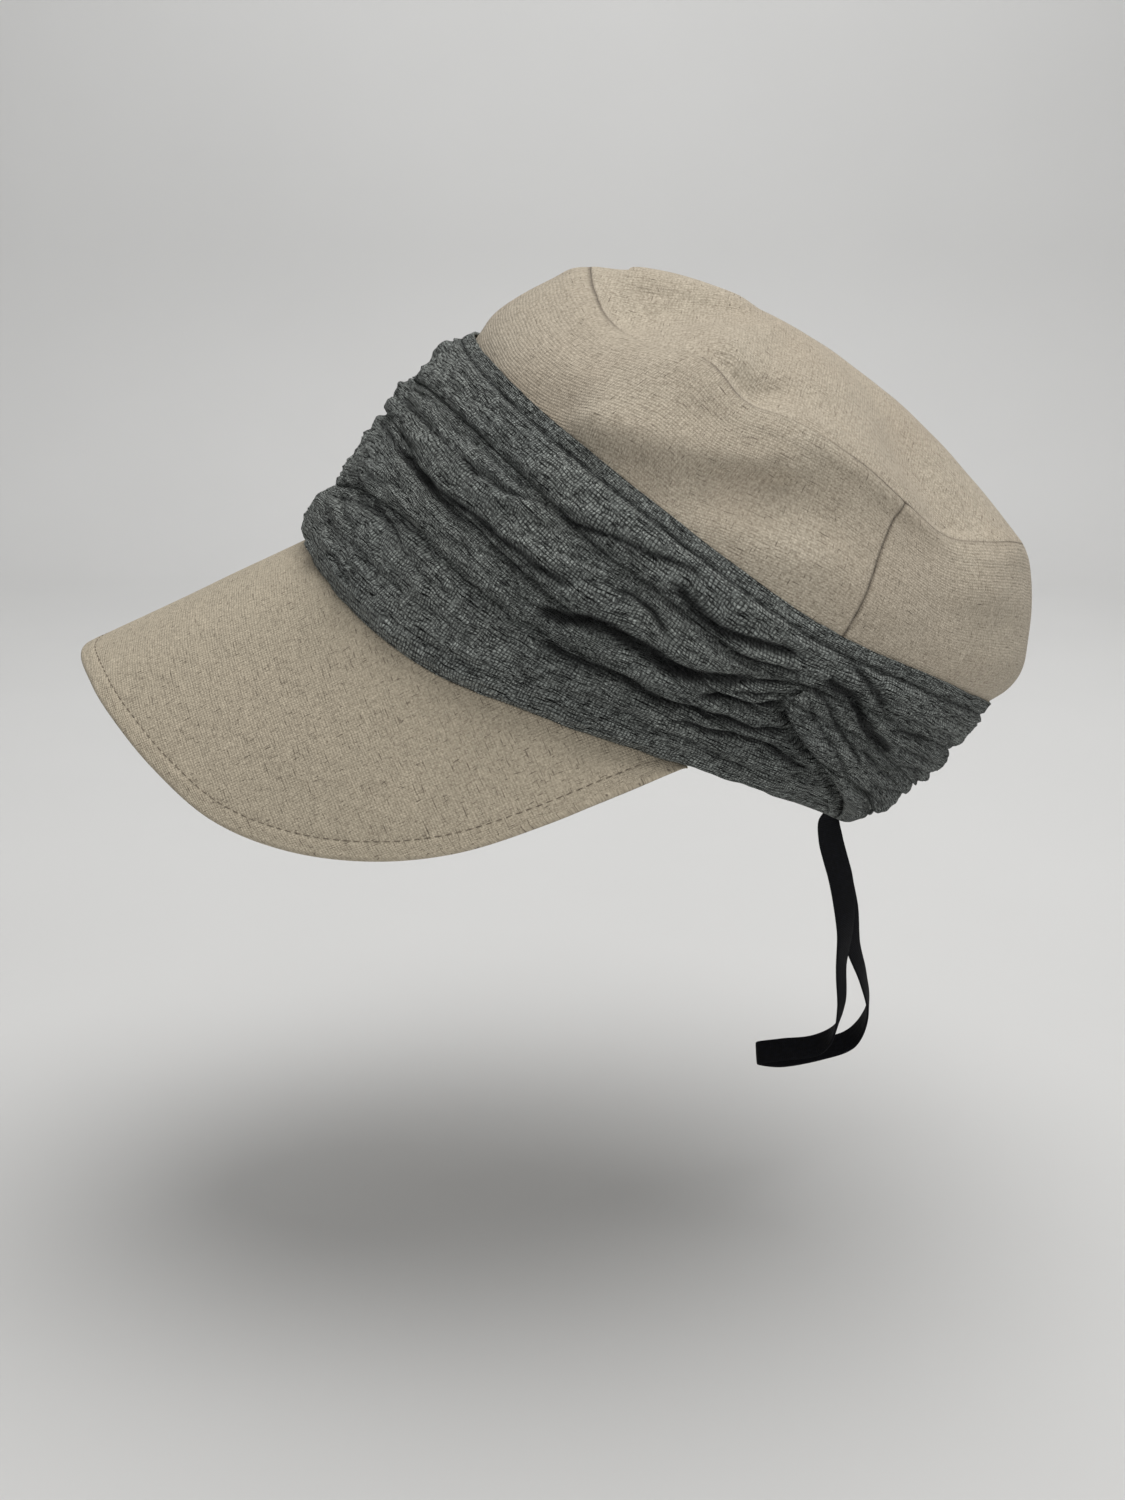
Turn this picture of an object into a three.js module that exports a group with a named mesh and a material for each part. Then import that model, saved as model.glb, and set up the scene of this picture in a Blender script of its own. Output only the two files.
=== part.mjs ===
// A linen peaked cap with a wide pleated gauze band and a flat tape loop at the back.
// Millimetres and degrees. +Z is up as the cap is worn, the peak points to -X and the wearer's left is -Y.
// The origin is the centre of the head opening.

import * as THREE from "three";

// Driving dimensions
const wearTilt = 28; // the rim rises towards the peak by this angle
const rimHalfLength = 97;
const rimHalfWidth = 82.5;
const seamHeight = 113.4; // top seam above the rim, at the front
const domeHeight = 127.1; // middle of the crown above the rim
const rimRise = 8.5; // how far the rim arches up over the ears
const linenThickness = 1.5;
const seamGap = 0.4;
const wrapGap = 0.8; // between the wrap's folded edge and the front of the band

const bandHeight = 79; // at the front
const bandClearance = 0.7;
const gauzeThickness = 1.6; // thinnest, in the bottom of a crease
const foldDepth = 3.6; // how far a fold stands above its creases
const hemShare = 0.86; // the flat hem starts at this share of the band's height

const peakReach = 146.4; // front of the peak from the middle of the opening
const peakHalfSpan = 96;
const peakFall = 73.5; // lowest edge of the peak below the rim
const peakThickness = 2.6;

const tapeWidth = 8;
const tapeThickness = 0.9;

// Widest place of the cap behind the middle of the opening, at the rim and at the top seam
const widestAtRim = 2;
const widestAtSeam = 8;
// Roundness of the crown in front of and behind its middle
const domePowerFront = 2.15;
const domePowerRear = 1.65;
const peakEndTurn = 107; // where the peak's ends leave the rim

// How finely the surfaces are faceted
const sideColumns = 36;
const backColumns = 16;
const wallRows = 12;
const topRings = 9;
const peakColumns = 36;
const peakRows = 6;
const bandColumns = 34;
const wrapColumns = 20;
const rowsPerFold = 5;
const tapeSteps = 60;

// Outline of the crown wall, as shares of the rim's half length and half width at each share of its height
const wallProfile = [
  { up: 0, front: 0.985, side: 1, rear: 0.99 },
  { up: 0.06, front: 0.975, side: 1.005, rear: 1.034 },
  { up: 0.15, front: 0.953, side: 1.01, rear: 1.078 },
  { up: 0.28, front: 0.938, side: 1.012, rear: 1.14 },
  { up: 0.4, front: 0.92, side: 1.008, rear: 1.172 },
  { up: 0.51, front: 0.882, side: 1, rear: 1.206 },
  { up: 0.6, front: 0.85, side: 0.985, rear: 1.256 },
  { up: 0.68, front: 0.818, side: 0.965, rear: 1.262 },
  { up: 0.77, front: 0.795, side: 0.935, rear: 1.227 },
  { up: 0.86, front: 0.738, side: 0.9, rear: 1.181 },
  { up: 0.93, front: 0.678, side: 0.862, rear: 1.13 },
  { up: 0.97, front: 0.642, side: 0.83, rear: 1.093 },
  { up: 1, front: 0.594, side: 0.8, rear: 1.053 },
];

// Height of the rim round the head, as shares of rimRise; turn 0 is the front and 180 the back
const rimLine = [
  { turn: 0, height: 0 },
  { turn: 29, height: -0.14 },
  { turn: 46, height: -0.36 },
  { turn: 61, height: -0.32 },
  { turn: 77, height: 0.2 },
  { turn: 91, height: 0.6 },
  { turn: 104, height: 0.95 },
  { turn: 126, height: 1.03 },
  { turn: 141, height: 0.85 },
  { turn: 160, height: 0.3 },
  { turn: 180, height: -0.24 },
];

// Height of the top seam round the head, as shares of seamHeight
const seamLine = [
  { turn: 0, height: 1 },
  { turn: 20, height: 0.955 },
  { turn: 32, height: 0.918 },
  { turn: 44, height: 0.906 },
  { turn: 67, height: 0.948 },
  { turn: 79, height: 0.91 },
  { turn: 91, height: 0.925 },
  { turn: 105, height: 0.914 },
  { turn: 116, height: 0.882 },
  { turn: 129, height: 0.852 },
  { turn: 141, height: 0.882 },
  { turn: 152, height: 0.909 },
  { turn: 180, height: 0.91 },
];

// Height of the band's upper edge round the head, as shares of bandHeight
const bandLine = [
  { turn: 0, height: 1 },
  { turn: 17, height: 0.99 },
  { turn: 31, height: 0.97 },
  { turn: 47, height: 0.935 },
  { turn: 69, height: 0.885 },
  { turn: 88, height: 0.83 },
  { turn: 109, height: 0.765 },
  { turn: 132, height: 0.765 },
  { turn: 149, height: 0.745 },
  { turn: 180, height: 0.7 },
];

// Hollows and swells pressed into the crown wall: depth in shares of seamHeight, inwards where positive
const wallDents = [
  { turn: 38, up: 0.84, depth: -0.02, turnSpread: 17, upSpread: 0.09 },
  { turn: 97, up: 0.84, depth: 0.05, turnSpread: 13, upSpread: 0.075 },
  { turn: 148, up: 0.86, depth: 0.018, turnSpread: 12, upSpread: 0.1 },
];

// Hollows and swells of the top panel, at a share of the way from its middle to its seam
const topDents = [
  { turn: 34, out: 0.84, depth: 0.034, turnSpread: 12, outSpread: 0.15 },
  { turn: 58, out: 0.8, depth: -0.016, turnSpread: 12, outSpread: 0.14 },
  { turn: 82, out: 0.88, depth: 0.028, turnSpread: 13, outSpread: 0.12 },
  { turn: 128, out: 0.86, depth: 0.03, turnSpread: 12, outSpread: 0.16 },
];

// Outer edge of the peak: shares of peakReach, peakHalfSpan and peakFall, with the rim's turn it hangs from
const peakEdge = [
  { turn: 0, forward: 1, side: 0, fall: 0.92 },
  { turn: 16, forward: 0.924, side: 0.344, fall: 0.902 },
  { turn: 25, forward: 0.848, side: 0.479, fall: 0.93 },
  { turn: 35, forward: 0.725, side: 0.625, fall: 0.974 },
  { turn: 46, forward: 0.572, side: 0.757, fall: 0.995 },
  { turn: 58, forward: 0.404, side: 0.875, fall: 0.906 },
  { turn: 68, forward: 0.261, side: 0.938, fall: 0.763 },
  { turn: 77, forward: 0.135, side: 0.979, fall: 0.574 },
  { turn: 86, forward: 0.025, side: 1, fall: 0.341 },
  { turn: 96, forward: -0.085, side: 0.979, fall: 0.11 },
  { turn: 107, forward: -0.197, side: 0.896, fall: -0.08 },
];

// Edge where the back wrap overlaps the front of the band: turn at each share of the band's height
const wrapEdge = [
  { up: 0, turn: 152 },
  { up: 0.12, turn: 141 },
  { up: 0.21, turn: 133 },
  { up: 0.3, turn: 126 },
  { up: 0.41, turn: 117 },
  { up: 0.55, turn: 110.5 },
  { up: 0.66, turn: 112 },
  { up: 1, turn: 117 },
];

// Creases of the band's front from its middle (along 0) to the gather (along 1), as shares of its height
const frontCreases = [
  { along: 0, low: 0.21, middle: 0.57, high: 0.72 },
  { along: 0.18, low: 0.34, middle: 0.59, high: 0.79 },
  { along: 0.36, low: 0.4, middle: 0.545, high: 0.82 },
  { along: 0.46, low: 0.375, middle: 0.545, high: 0.8 },
  { along: 0.56, low: 0.34, middle: 0.505, high: 0.785 },
  { along: 0.66, low: 0.33, middle: 0.46, high: 0.74 },
  { along: 0.75, low: 0.31, middle: 0.5, high: 0.73 },
  { along: 0.84, low: 0.3, middle: 0.455, high: 0.68 },
  { along: 0.93, low: 0.31, middle: 0.475, high: 0.66 },
  { along: 1, low: 0.345, middle: 0.58, high: 0.68 },
];

// How full each fold of the front is, as shares of foldDepth, from the lowest to the highest
const frontFolds = [
  { along: 0, first: 0.9, second: 0.5, third: 0.6, fourth: 0.5 },
  { along: 0.3, first: 0.7, second: 0.9, third: 0.8, fourth: 0.7 },
  { along: 0.6, first: 0.7, second: 1, third: 1.05, fourth: 0.8 },
  { along: 0.85, first: 0.6, second: 0.9, third: 1, fourth: 0.85 },
  { along: 1, first: 0.15, second: 0.2, third: 0.5, fourth: 0.7 },
];

// Creases of the back wrap from the gather (along 0) to its middle (along 1), as shares of its height
const wrapCreases = [
  { along: 0, low: 0.345, middle: 0.58, high: 0.68 },
  { along: 0.15, low: 0.3, middle: 0.56, high: 0.7 },
  { along: 0.35, low: 0.2, middle: 0.49, high: 0.69 },
  { along: 0.6, low: 0.13, middle: 0.42, high: 0.67 },
  { along: 1, low: 0.12, middle: 0.4, high: 0.66 },
];

// How full each fold of the wrap is, as shares of foldDepth
const wrapFolds = [
  { along: 0, first: 1.05, second: 1.1, third: 0.8, fourth: 0.7 },
  { along: 0.3, first: 0.7, second: 0.75, third: 0.65, fourth: 0.5 },
  { along: 1, first: 0.35, second: 0.5, third: 0.45, fourth: 0.3 },
];

// Route of the tape: down the near strand, round its foot and up the far strand.
// The width of the tape points to a compass turn from +X towards +Y and leans up by an angle.
const tapeRoute = [
  { x: 85.4, y: -27.6, z: -34, turn: 70, lean: -10 },
  { x: 80.4, y: -26.4, z: -36.4, turn: 69, lean: -8 },
  { x: 78.6, y: -25.8, z: -41.2, turn: 67, lean: 0 },
  { x: 79.6, y: -25, z: -48.5, turn: 52, lean: 0 },
  { x: 81.8, y: -23, z: -56, turn: 24, lean: 0 },
  { x: 84, y: -20.8, z: -63, turn: 12, lean: 0 },
  { x: 86.2, y: -17.8, z: -73, turn: 20, lean: 0 },
  { x: 87.4, y: -15.5, z: -84, turn: 42, lean: 0 },
  { x: 87.2, y: -13, z: -99, turn: 58, lean: 0 },
  { x: 88, y: -12, z: -113, turn: 62, lean: 5 },
  { x: 86, y: -11, z: -123, turn: 72, lean: 20 },
  { x: 80.5, y: -10, z: -128.5, turn: 88, lean: 38 },
  { x: 69, y: -8.5, z: -131, turn: 90, lean: 45 },
  { x: 61, y: -5.2, z: -134, turn: 90, lean: 45 },
  { x: 69, y: -2.4, z: -136.6, turn: 90, lean: 45 },
  { x: 83, y: -3.4, z: -133.4, turn: 92, lean: 42 },
  { x: 93.2, y: -4.4, z: -128.8, turn: 96, lean: 30 },
  { x: 98.2, y: -4.8, z: -118, turn: 82, lean: 10 },
  { x: 96.2, y: -4.8, z: -106, turn: 66, lean: 0 },
  { x: 92.2, y: -5.2, z: -94, turn: 48, lean: 0 },
  { x: 89.4, y: -6.4, z: -80, turn: 20, lean: 0 },
  { x: 86.2, y: -8.2, z: -68, turn: 12, lean: 0 },
  { x: 83.4, y: -9.6, z: -59, turn: 24, lean: 0 },
  { x: 81.4, y: -10.4, z: -52.5, turn: 55, lean: 0 },
  { x: 80.7, y: -10.8, z: -46.4, turn: 78, lean: 0 },
  { x: 82.8, y: -10.9, z: -41.6, turn: 80, lean: -6 },
  { x: 87.6, y: -11, z: -38.8, turn: 81, lean: -8 },
];

const radians = THREE.MathUtils.degToRad;

// Value of one column of a table at a place between its rows, on a smooth curve through them.
// A mirrored table starts and ends level, because its other half repeats it.
function sampled(table, key, column, place, mirrored = true) {
  const last = table.length - 1;
  let row = 0;
  while (row < last - 1 && place > table[row + 1][key]) row += 1;
  const chord = (from) => {
    const span = table[from + 1][key] - table[from][key];
    return (table[from + 1][column] - table[from][column]) / span;
  };
  const slope = (at) => {
    if (at === 0) return mirrored ? 0 : chord(0);
    if (at === last) return mirrored ? 0 : chord(last - 1);
    return (chord(at - 1) + chord(at)) / 2;
  };
  const span = table[row + 1][key] - table[row][key];
  const share = THREE.MathUtils.clamp((place - table[row][key]) / span, 0, 1);
  const squared = share * share;
  const cubed = squared * share;
  const startWeight = 2 * cubed - 3 * squared + 1;
  const startPull = (cubed - 2 * squared + share) * slope(row);
  const endPull = (cubed - squared) * slope(row + 1);
  return startWeight * table[row][column] + (1 - startWeight) * table[row + 1][column]
    + (startPull + endPull) * span;
}

// Turn from the front, the same on the left and the right: 0 to 180
function turnFromFront(turn) {
  return Math.abs(THREE.MathUtils.euclideanModulo(turn + 180, 360) - 180);
}

function rimHeightAt(turn) {
  return rimRise * sampled(rimLine, "turn", "height", turnFromFront(turn));
}

function seamHeightAt(turn) {
  return seamHeight * sampled(seamLine, "turn", "height", turnFromFront(turn));
}

function bandHeightAt(turn) {
  return bandHeight * sampled(bandLine, "turn", "height", turnFromFront(turn));
}

// Depth of all hollows at a place, each one a soft round bump
function dentDepth(dents, key, spreadKey, turn, place) {
  let depth = 0;
  for (const dent of dents) {
    const aside = (turnFromFront(turn) - dent.turn) / dent.turnSpread;
    const along = (place - dent[key]) / dent[spreadKey];
    depth += dent.depth * seamHeight * Math.exp(-(aside * aside + along * along) / 2);
  }
  return depth;
}

// Point of an oval whose front, rear and side reach differ
function ovalPoint(turn, oval, share, height) {
  const angle = radians(turn);
  const forward = -Math.cos(angle);
  const reach = forward < 0 ? oval.widest + oval.front : oval.rear - oval.widest;
  return new THREE.Vector3(oval.widest + share * reach * forward, -share * oval.side * Math.sin(angle), height);
}

function wallOval(up) {
  return {
    front: rimHalfLength * sampled(wallProfile, "up", "front", up, false),
    rear: rimHalfLength * sampled(wallProfile, "up", "rear", up, false),
    side: rimHalfWidth * sampled(wallProfile, "up", "side", up, false),
    widest: THREE.MathUtils.lerp(widestAtRim, widestAtSeam, up),
  };
}

// Outer face of the crown wall, from the rim (up 0) to the top seam (up 1)
function wallPoint(turn, up) {
  const height = THREE.MathUtils.lerp(rimHeightAt(turn), seamHeightAt(turn), up);
  const point = ovalPoint(turn, wallOval(up), 1, height);
  const depth = dentDepth(wallDents, "up", "upSpread", turn, up);
  const outwards = new THREE.Vector3(-Math.cos(radians(turn)), -Math.sin(radians(turn)), 0);
  return point.addScaledVector(outwards, -depth * Math.min(1, (1 - up) / 0.06));
}

// Outer face of the top panel, from its middle (out 0) to the top seam (out 1)
function topPoint(turn, out) {
  const seam = seamHeightAt(turn);
  const frontShare = (1 + Math.cos(radians(turn))) / 2;
  const power = THREE.MathUtils.lerp(domePowerRear, domePowerFront, frontShare);
  const dome = seam + (domeHeight - seam) * (1 - out ** power);
  const depth = dentDepth(topDents, "out", "outSpread", turn, out) * Math.min(1, (1 - out) / 0.06);
  return ovalPoint(turn, wallOval(1), out, dome - depth);
}

// Normal of a surface given by two places, by small steps along each: the turn first, then the other
function normalOf(surface, turn, place, step) {
  const turnStep = 0.5;
  const before = Math.max(0, place - step);
  const after = Math.min(1, place + step);
  const aside = surface(turn + turnStep, place).sub(surface(turn - turnStep, place));
  const along = surface(turn, after).sub(surface(turn, before));
  return aside.cross(along).normalize();
}

function wallNormal(turn, up) {
  return normalOf(wallPoint, turn, up, 0.02);
}

function topNormal(turn, out) {
  return normalOf(topPoint, turn, out, 0.02).negate();
}

// Way from the outer to the inner corner of the top seam, the same for both panels that meet there
function seamMitre(turn) {
  const wall = wallNormal(turn, 1);
  const top = topNormal(turn, 1);
  const scale = -linenThickness / (1 + wall.dot(top));
  return wall.add(top).multiplyScalar(scale);
}

// Closed body from points and triangles, with its faces turned outwards
function closedBody(points, triangles) {
  let volume = 0;
  for (const [first, second, third] of triangles) {
    const [a, b, c] = [points[first], points[second], points[third]];
    volume += a.dot(new THREE.Vector3().crossVectors(b, c));
  }
  const outward = volume > 0 ? triangles : triangles.map(([a, b, c]) => [a, c, b]);
  const geometry = new THREE.BufferGeometry().setFromPoints(points);
  geometry.setIndex(outward.flat());
  geometry.computeVertexNormals();
  return geometry;
}

// Sheet of cloth between two grids of points with the same rows and columns, closed round its four edges
function sheetBody(outerRows, innerRows) {
  const rows = outerRows.length;
  const columns = outerRows[0].length;
  const points = [...outerRows.flat(), ...innerRows.flat()];
  const outer = (row, column) => row * columns + column;
  const inner = (row, column) => rows * columns + row * columns + column;
  const triangles = [];
  const quad = (a, b, c, d) => triangles.push([a, b, c], [a, c, d]);
  for (let row = 0; row < rows - 1; row += 1) {
    for (let column = 0; column < columns - 1; column += 1) {
      quad(outer(row, column), outer(row, column + 1), outer(row + 1, column + 1), outer(row + 1, column));
      quad(inner(row, column), inner(row + 1, column), inner(row + 1, column + 1), inner(row, column + 1));
    }
  }
  const lastRow = rows - 1;
  const lastColumn = columns - 1;
  for (let column = 0; column < lastColumn; column += 1) {
    quad(outer(0, column + 1), outer(0, column), inner(0, column), inner(0, column + 1));
    quad(outer(lastRow, column), outer(lastRow, column + 1), inner(lastRow, column + 1), inner(lastRow, column));
  }
  for (let row = 0; row < lastRow; row += 1) {
    quad(outer(row, 0), outer(row + 1, 0), inner(row + 1, 0), inner(row, 0));
    quad(outer(row + 1, lastColumn), outer(row, lastColumn), inner(row, lastColumn), inner(row + 1, lastColumn));
  }
  return closedBody(points, triangles);
}

// Round cap of cloth from rings of points that go all the way round, closed by a middle point on each face
function discBody(outerMiddle, outerRings, innerMiddle, innerRings) {
  const rings = outerRings.length;
  const columns = outerRings[0].length;
  const points = [outerMiddle, ...outerRings.flat(), innerMiddle, ...innerRings.flat()];
  const innerStart = 1 + rings * columns;
  const at = (start, ring, column) => start + 1 + ring * columns + (column % columns);
  const triangles = [];
  const quad = (a, b, c, d) => triangles.push([a, b, c], [a, c, d]);
  for (let column = 0; column < columns; column += 1) {
    triangles.push([0, at(0, 0, column), at(0, 0, column + 1)]);
    triangles.push([innerStart, at(innerStart, 0, column + 1), at(innerStart, 0, column)]);
    for (let ring = 0; ring < rings - 1; ring += 1) {
      quad(at(0, ring, column), at(0, ring + 1, column), at(0, ring + 1, column + 1), at(0, ring, column + 1));
      quad(at(innerStart, ring, column), at(innerStart, ring, column + 1),
        at(innerStart, ring + 1, column + 1), at(innerStart, ring + 1, column));
    }
    const edge = rings - 1;
    quad(at(0, edge, column), at(innerStart, edge, column),
      at(innerStart, edge, column + 1), at(0, edge, column + 1));
  }
  return closedBody(points, triangles);
}

function countedShares(count) {
  return Array.from({ length: count + 1 }, (_, index) => index / count);
}

// Turn of the seam between the side and back panels, which lies across the cap at one distance behind it
function panelSeamTurn(up) {
  const seamBehind = 0.515 * rimHalfLength;
  const oval = wallOval(up);
  return THREE.MathUtils.radToDeg(Math.acos(-(seamBehind - oval.widest) / (oval.rear - oval.widest)));
}

// Panel of the crown wall between two turns, each a function of the height
function wallPanel(columns, startTurn, endTurn) {
  const outer = [];
  const inner = [];
  for (const up of countedShares(wallRows)) {
    const turns = countedShares(columns).map((share) => THREE.MathUtils.lerp(startTurn(up), endTurn(up), share));
    outer.push(turns.map((turn) => wallPoint(turn, up)));
    inner.push(turns.map((turn) => {
      const inwards = up === 1 ? seamMitre(turn) : wallNormal(turn, up).multiplyScalar(-linenThickness);
      return wallPoint(turn, up).add(inwards);
    }));
  }
  return sheetBody(outer, inner);
}

const halfGapTurn = THREE.MathUtils.radToDeg(seamGap / 2 / rimHalfWidth);

function crownSide() {
  const end = (up) => panelSeamTurn(up) - halfGapTurn;
  return wallPanel(sideColumns, (up) => -end(up), end);
}

function crownBack() {
  const start = (up) => panelSeamTurn(up) + halfGapTurn;
  return wallPanel(backColumns, start, (up) => 360 - start(up));
}

// Turns at which the top panel is faceted: the same ones as the wall panels' upper edges
function topTurns() {
  const end = panelSeamTurn(1) - halfGapTurn;
  const start = panelSeamTurn(1) + halfGapTurn;
  const side = countedShares(sideColumns).map((share) => THREE.MathUtils.lerp(-end, end, share));
  const back = countedShares(backColumns).map((share) => THREE.MathUtils.lerp(start, 360 - start, share));
  return [...side, ...back.slice(1, -1)];
}

function crownTop() {
  const turns = topTurns();
  const edge = 1 - seamGap / (rimHalfWidth * wallProfile.at(-1).side);
  const outerRings = [];
  const innerRings = [];
  for (const share of countedShares(topRings).slice(1)) {
    const out = share * edge;
    outerRings.push(turns.map((turn) => topPoint(turn, out)));
    innerRings.push(turns.map((turn) => {
      const inwards = share === 1 ? seamMitre(turn) : topNormal(turn, out).multiplyScalar(-linenThickness);
      return topPoint(turn, out).add(inwards);
    }));
  }
  const outerMiddle = topPoint(0, 0);
  const innerMiddle = outerMiddle.clone().setZ(outerMiddle.z - linenThickness);
  return discBody(outerMiddle, outerRings, innerMiddle, innerRings);
}

// Upper face of the peak, from the rim (out 0) to its free edge (out 1)
function peakPoint(turn, out) {
  const fromFront = Math.abs(turn);
  const root = wallPoint(turn, 0);
  root.z -= seamGap;
  const edge = new THREE.Vector3(
    -peakReach * sampled(peakEdge, "turn", "forward", fromFront, true),
    -Math.sign(turn) * peakHalfSpan * sampled(peakEdge, "turn", "side", fromFront, false),
    -peakFall * sampled(peakEdge, "turn", "fall", fromFront, true),
  );
  return root.lerp(edge, out);
}

function peak() {
  const turns = countedShares(peakColumns).map((share) => peakEndTurn * (2 * share - 1));
  const outer = [];
  const inner = [];
  for (const out of countedShares(peakRows)) {
    outer.push(turns.map((turn) => peakPoint(turn, out)));
    inner.push(turns.map((turn) => {
      const upwards = normalOf(peakPoint, turn, out, 0.1).negate();
      return peakPoint(turn, out).addScaledVector(upwards, -peakThickness);
    }));
  }
  return sheetBody(outer, inner);
}

// Place on the crown wall of a share of the band's height
function bandUp(turn, share) {
  const rim = rimHeightAt(turn);
  const shareOfBand = (bandHeightAt(turn) - rim) / (seamHeightAt(turn) - rim);
  const lift = seamGap / (seamHeightAt(turn) - rim);
  return lift + share * (shareOfBand - lift);
}

// Height of a band point in its fold: the folds lie between the band's edges and its creases
function foldedShare(creases, along, fold, within) {
  const lines = [0, ...["low", "middle", "high"].map((name) => sampled(creases, "along", name, along, false)), 1];
  return THREE.MathUtils.lerp(lines[fold], lines[fold + 1], within);
}

// How far the cloth stands above the bottom of a crease, rounded between two creases and flat at the hem
function foldRelief(folds, along, fold, within, share) {
  const fullness = sampled(folds, "along", ["first", "second", "third", "fourth"][fold], along);
  const crest = Math.sin(Math.PI * within ** 1.25) ** 0.7;
  const hem = 1 - THREE.MathUtils.smoothstep(share, hemShare, 1) * 0.8;
  const lowEdge = fold === 0 && within < 0.35 ? Math.sqrt(within / 0.35) * (1 - crest) * 0.8 : 0;
  return foldDepth * fullness * Math.max(0, crest + lowEdge) * hem;
}

// Pleated band over the wall; turnAt gives the turn of a place along the band at a share of its height
function pleatedBand(columns, creases, folds, turnAt, alongOf) {
  const outer = [];
  const inner = [];
  for (let fold = 0; fold < 4; fold += 1) {
    for (const within of countedShares(rowsPerFold).slice(fold === 0 ? 0 : 1)) {
      const places = countedShares(columns).map((column) => {
        const along = alongOf(column);
        const share = foldedShare(creases, along, fold, within);
        const turn = turnAt(column, share);
        const up = bandUp(turn, share);
        const relief = foldRelief(folds, along, fold, within, share);
        return { base: wallPoint(turn, up), normal: wallNormal(turn, up), relief };
      });
      outer.push(places.map(({ base, normal, relief }) => (
        base.clone().addScaledVector(normal, bandClearance + gauzeThickness + relief))));
      inner.push(places.map(({ base, normal }) => base.clone().addScaledVector(normal, bandClearance)));
    }
  }
  return sheetBody(outer, inner);
}

const halfWrapGapTurn = THREE.MathUtils.radToDeg(wrapGap / 2 / rimHalfWidth);

function wrapEdgeTurn(share) {
  return sampled(wrapEdge, "up", "turn", share, false);
}

function bandFront() {
  const turnAt = (column, share) => (wrapEdgeTurn(share) - halfWrapGapTurn) * (2 * column - 1);
  return pleatedBand(bandColumns, frontCreases, frontFolds, turnAt, (column) => Math.abs(2 * column - 1));
}

function bandBack() {
  const turnAt = (column, share) => {
    const start = wrapEdgeTurn(share) + halfWrapGapTurn;
    return THREE.MathUtils.lerp(start, 360 - start, column);
  };
  return pleatedBand(wrapColumns, wrapCreases, wrapFolds, turnAt, (column) => 1 - Math.abs(2 * column - 1));
}

// Curve of the tape whose cross-section keeps the width that the route's table gives
class TapeCurve extends THREE.CatmullRomCurve3 {
  computeFrenetFrames(segments) {
    const frames = { tangents: [], normals: [], binormals: [] };
    for (const share of countedShares(segments)) {
      const place = this.getUtoTmapping(share) * (tapeRoute.length - 1);
      const row = Math.min(tapeRoute.length - 2, Math.floor(place));
      const [from, to] = [tapeRoute[row], tapeRoute[row + 1]];
      const turn = radians(THREE.MathUtils.lerp(from.turn, to.turn, place - row));
      const lean = radians(THREE.MathUtils.lerp(from.lean, to.lean, place - row));
      const width = new THREE.Vector3(Math.cos(turn) * Math.cos(lean), Math.sin(turn) * Math.cos(lean), Math.sin(lean));
      const tangent = this.getTangentAt(share);
      const normal = width.addScaledVector(tangent, -width.dot(tangent)).normalize();
      frames.tangents.push(tangent);
      frames.normals.push(normal);
      frames.binormals.push(new THREE.Vector3().crossVectors(tangent, normal));
    }
    return frames;
  }
}

function backTape() {
  const halfWidth = tapeWidth / 2;
  const halfThickness = tapeThickness / 2;
  const edge = halfWidth - halfThickness;
  const section = new THREE.Shape([
    new THREE.Vector2(halfWidth, 0),
    new THREE.Vector2(edge, halfThickness),
    new THREE.Vector2(0, halfThickness),
    new THREE.Vector2(-edge, halfThickness),
    new THREE.Vector2(-halfWidth, 0),
    new THREE.Vector2(-edge, -halfThickness),
    new THREE.Vector2(0, -halfThickness),
    new THREE.Vector2(edge, -halfThickness),
  ]);
  const route = new TapeCurve(tapeRoute.map(({ x, y, z }) => new THREE.Vector3(x, y, z)), false, "centripetal");
  return new THREE.ExtrudeGeometry(section, { steps: tapeSteps, bevelEnabled: false, extrudePath: route });
}

const linen = new THREE.MeshStandardMaterial({ color: 0xb9ab94, roughness: 0.9, metalness: 0 });
const gauze = new THREE.MeshStandardMaterial({ color: 0x5d6462, roughness: 0.95, metalness: 0 });
const ribbon = new THREE.MeshStandardMaterial({ color: 0x16171d, roughness: 0.6, metalness: 0 });

function piece(name, geometry, material) {
  const mesh = new THREE.Mesh(geometry, material);
  mesh.name = name;
  return mesh;
}

const cap = new THREE.Group();
cap.rotation.y = radians(wearTilt);
cap.add(
  piece("crown_top", crownTop(), linen),
  piece("crown_side", crownSide(), linen),
  piece("crown_back", crownBack(), linen),
  piece("peak", peak(), linen),
  piece("band_front", bandFront(), gauze),
  piece("band_back", bandBack(), gauze),
);

const group = new THREE.Group();
group.add(cap, piece("back_tape", backTape(), ribbon));

export default group;
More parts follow.
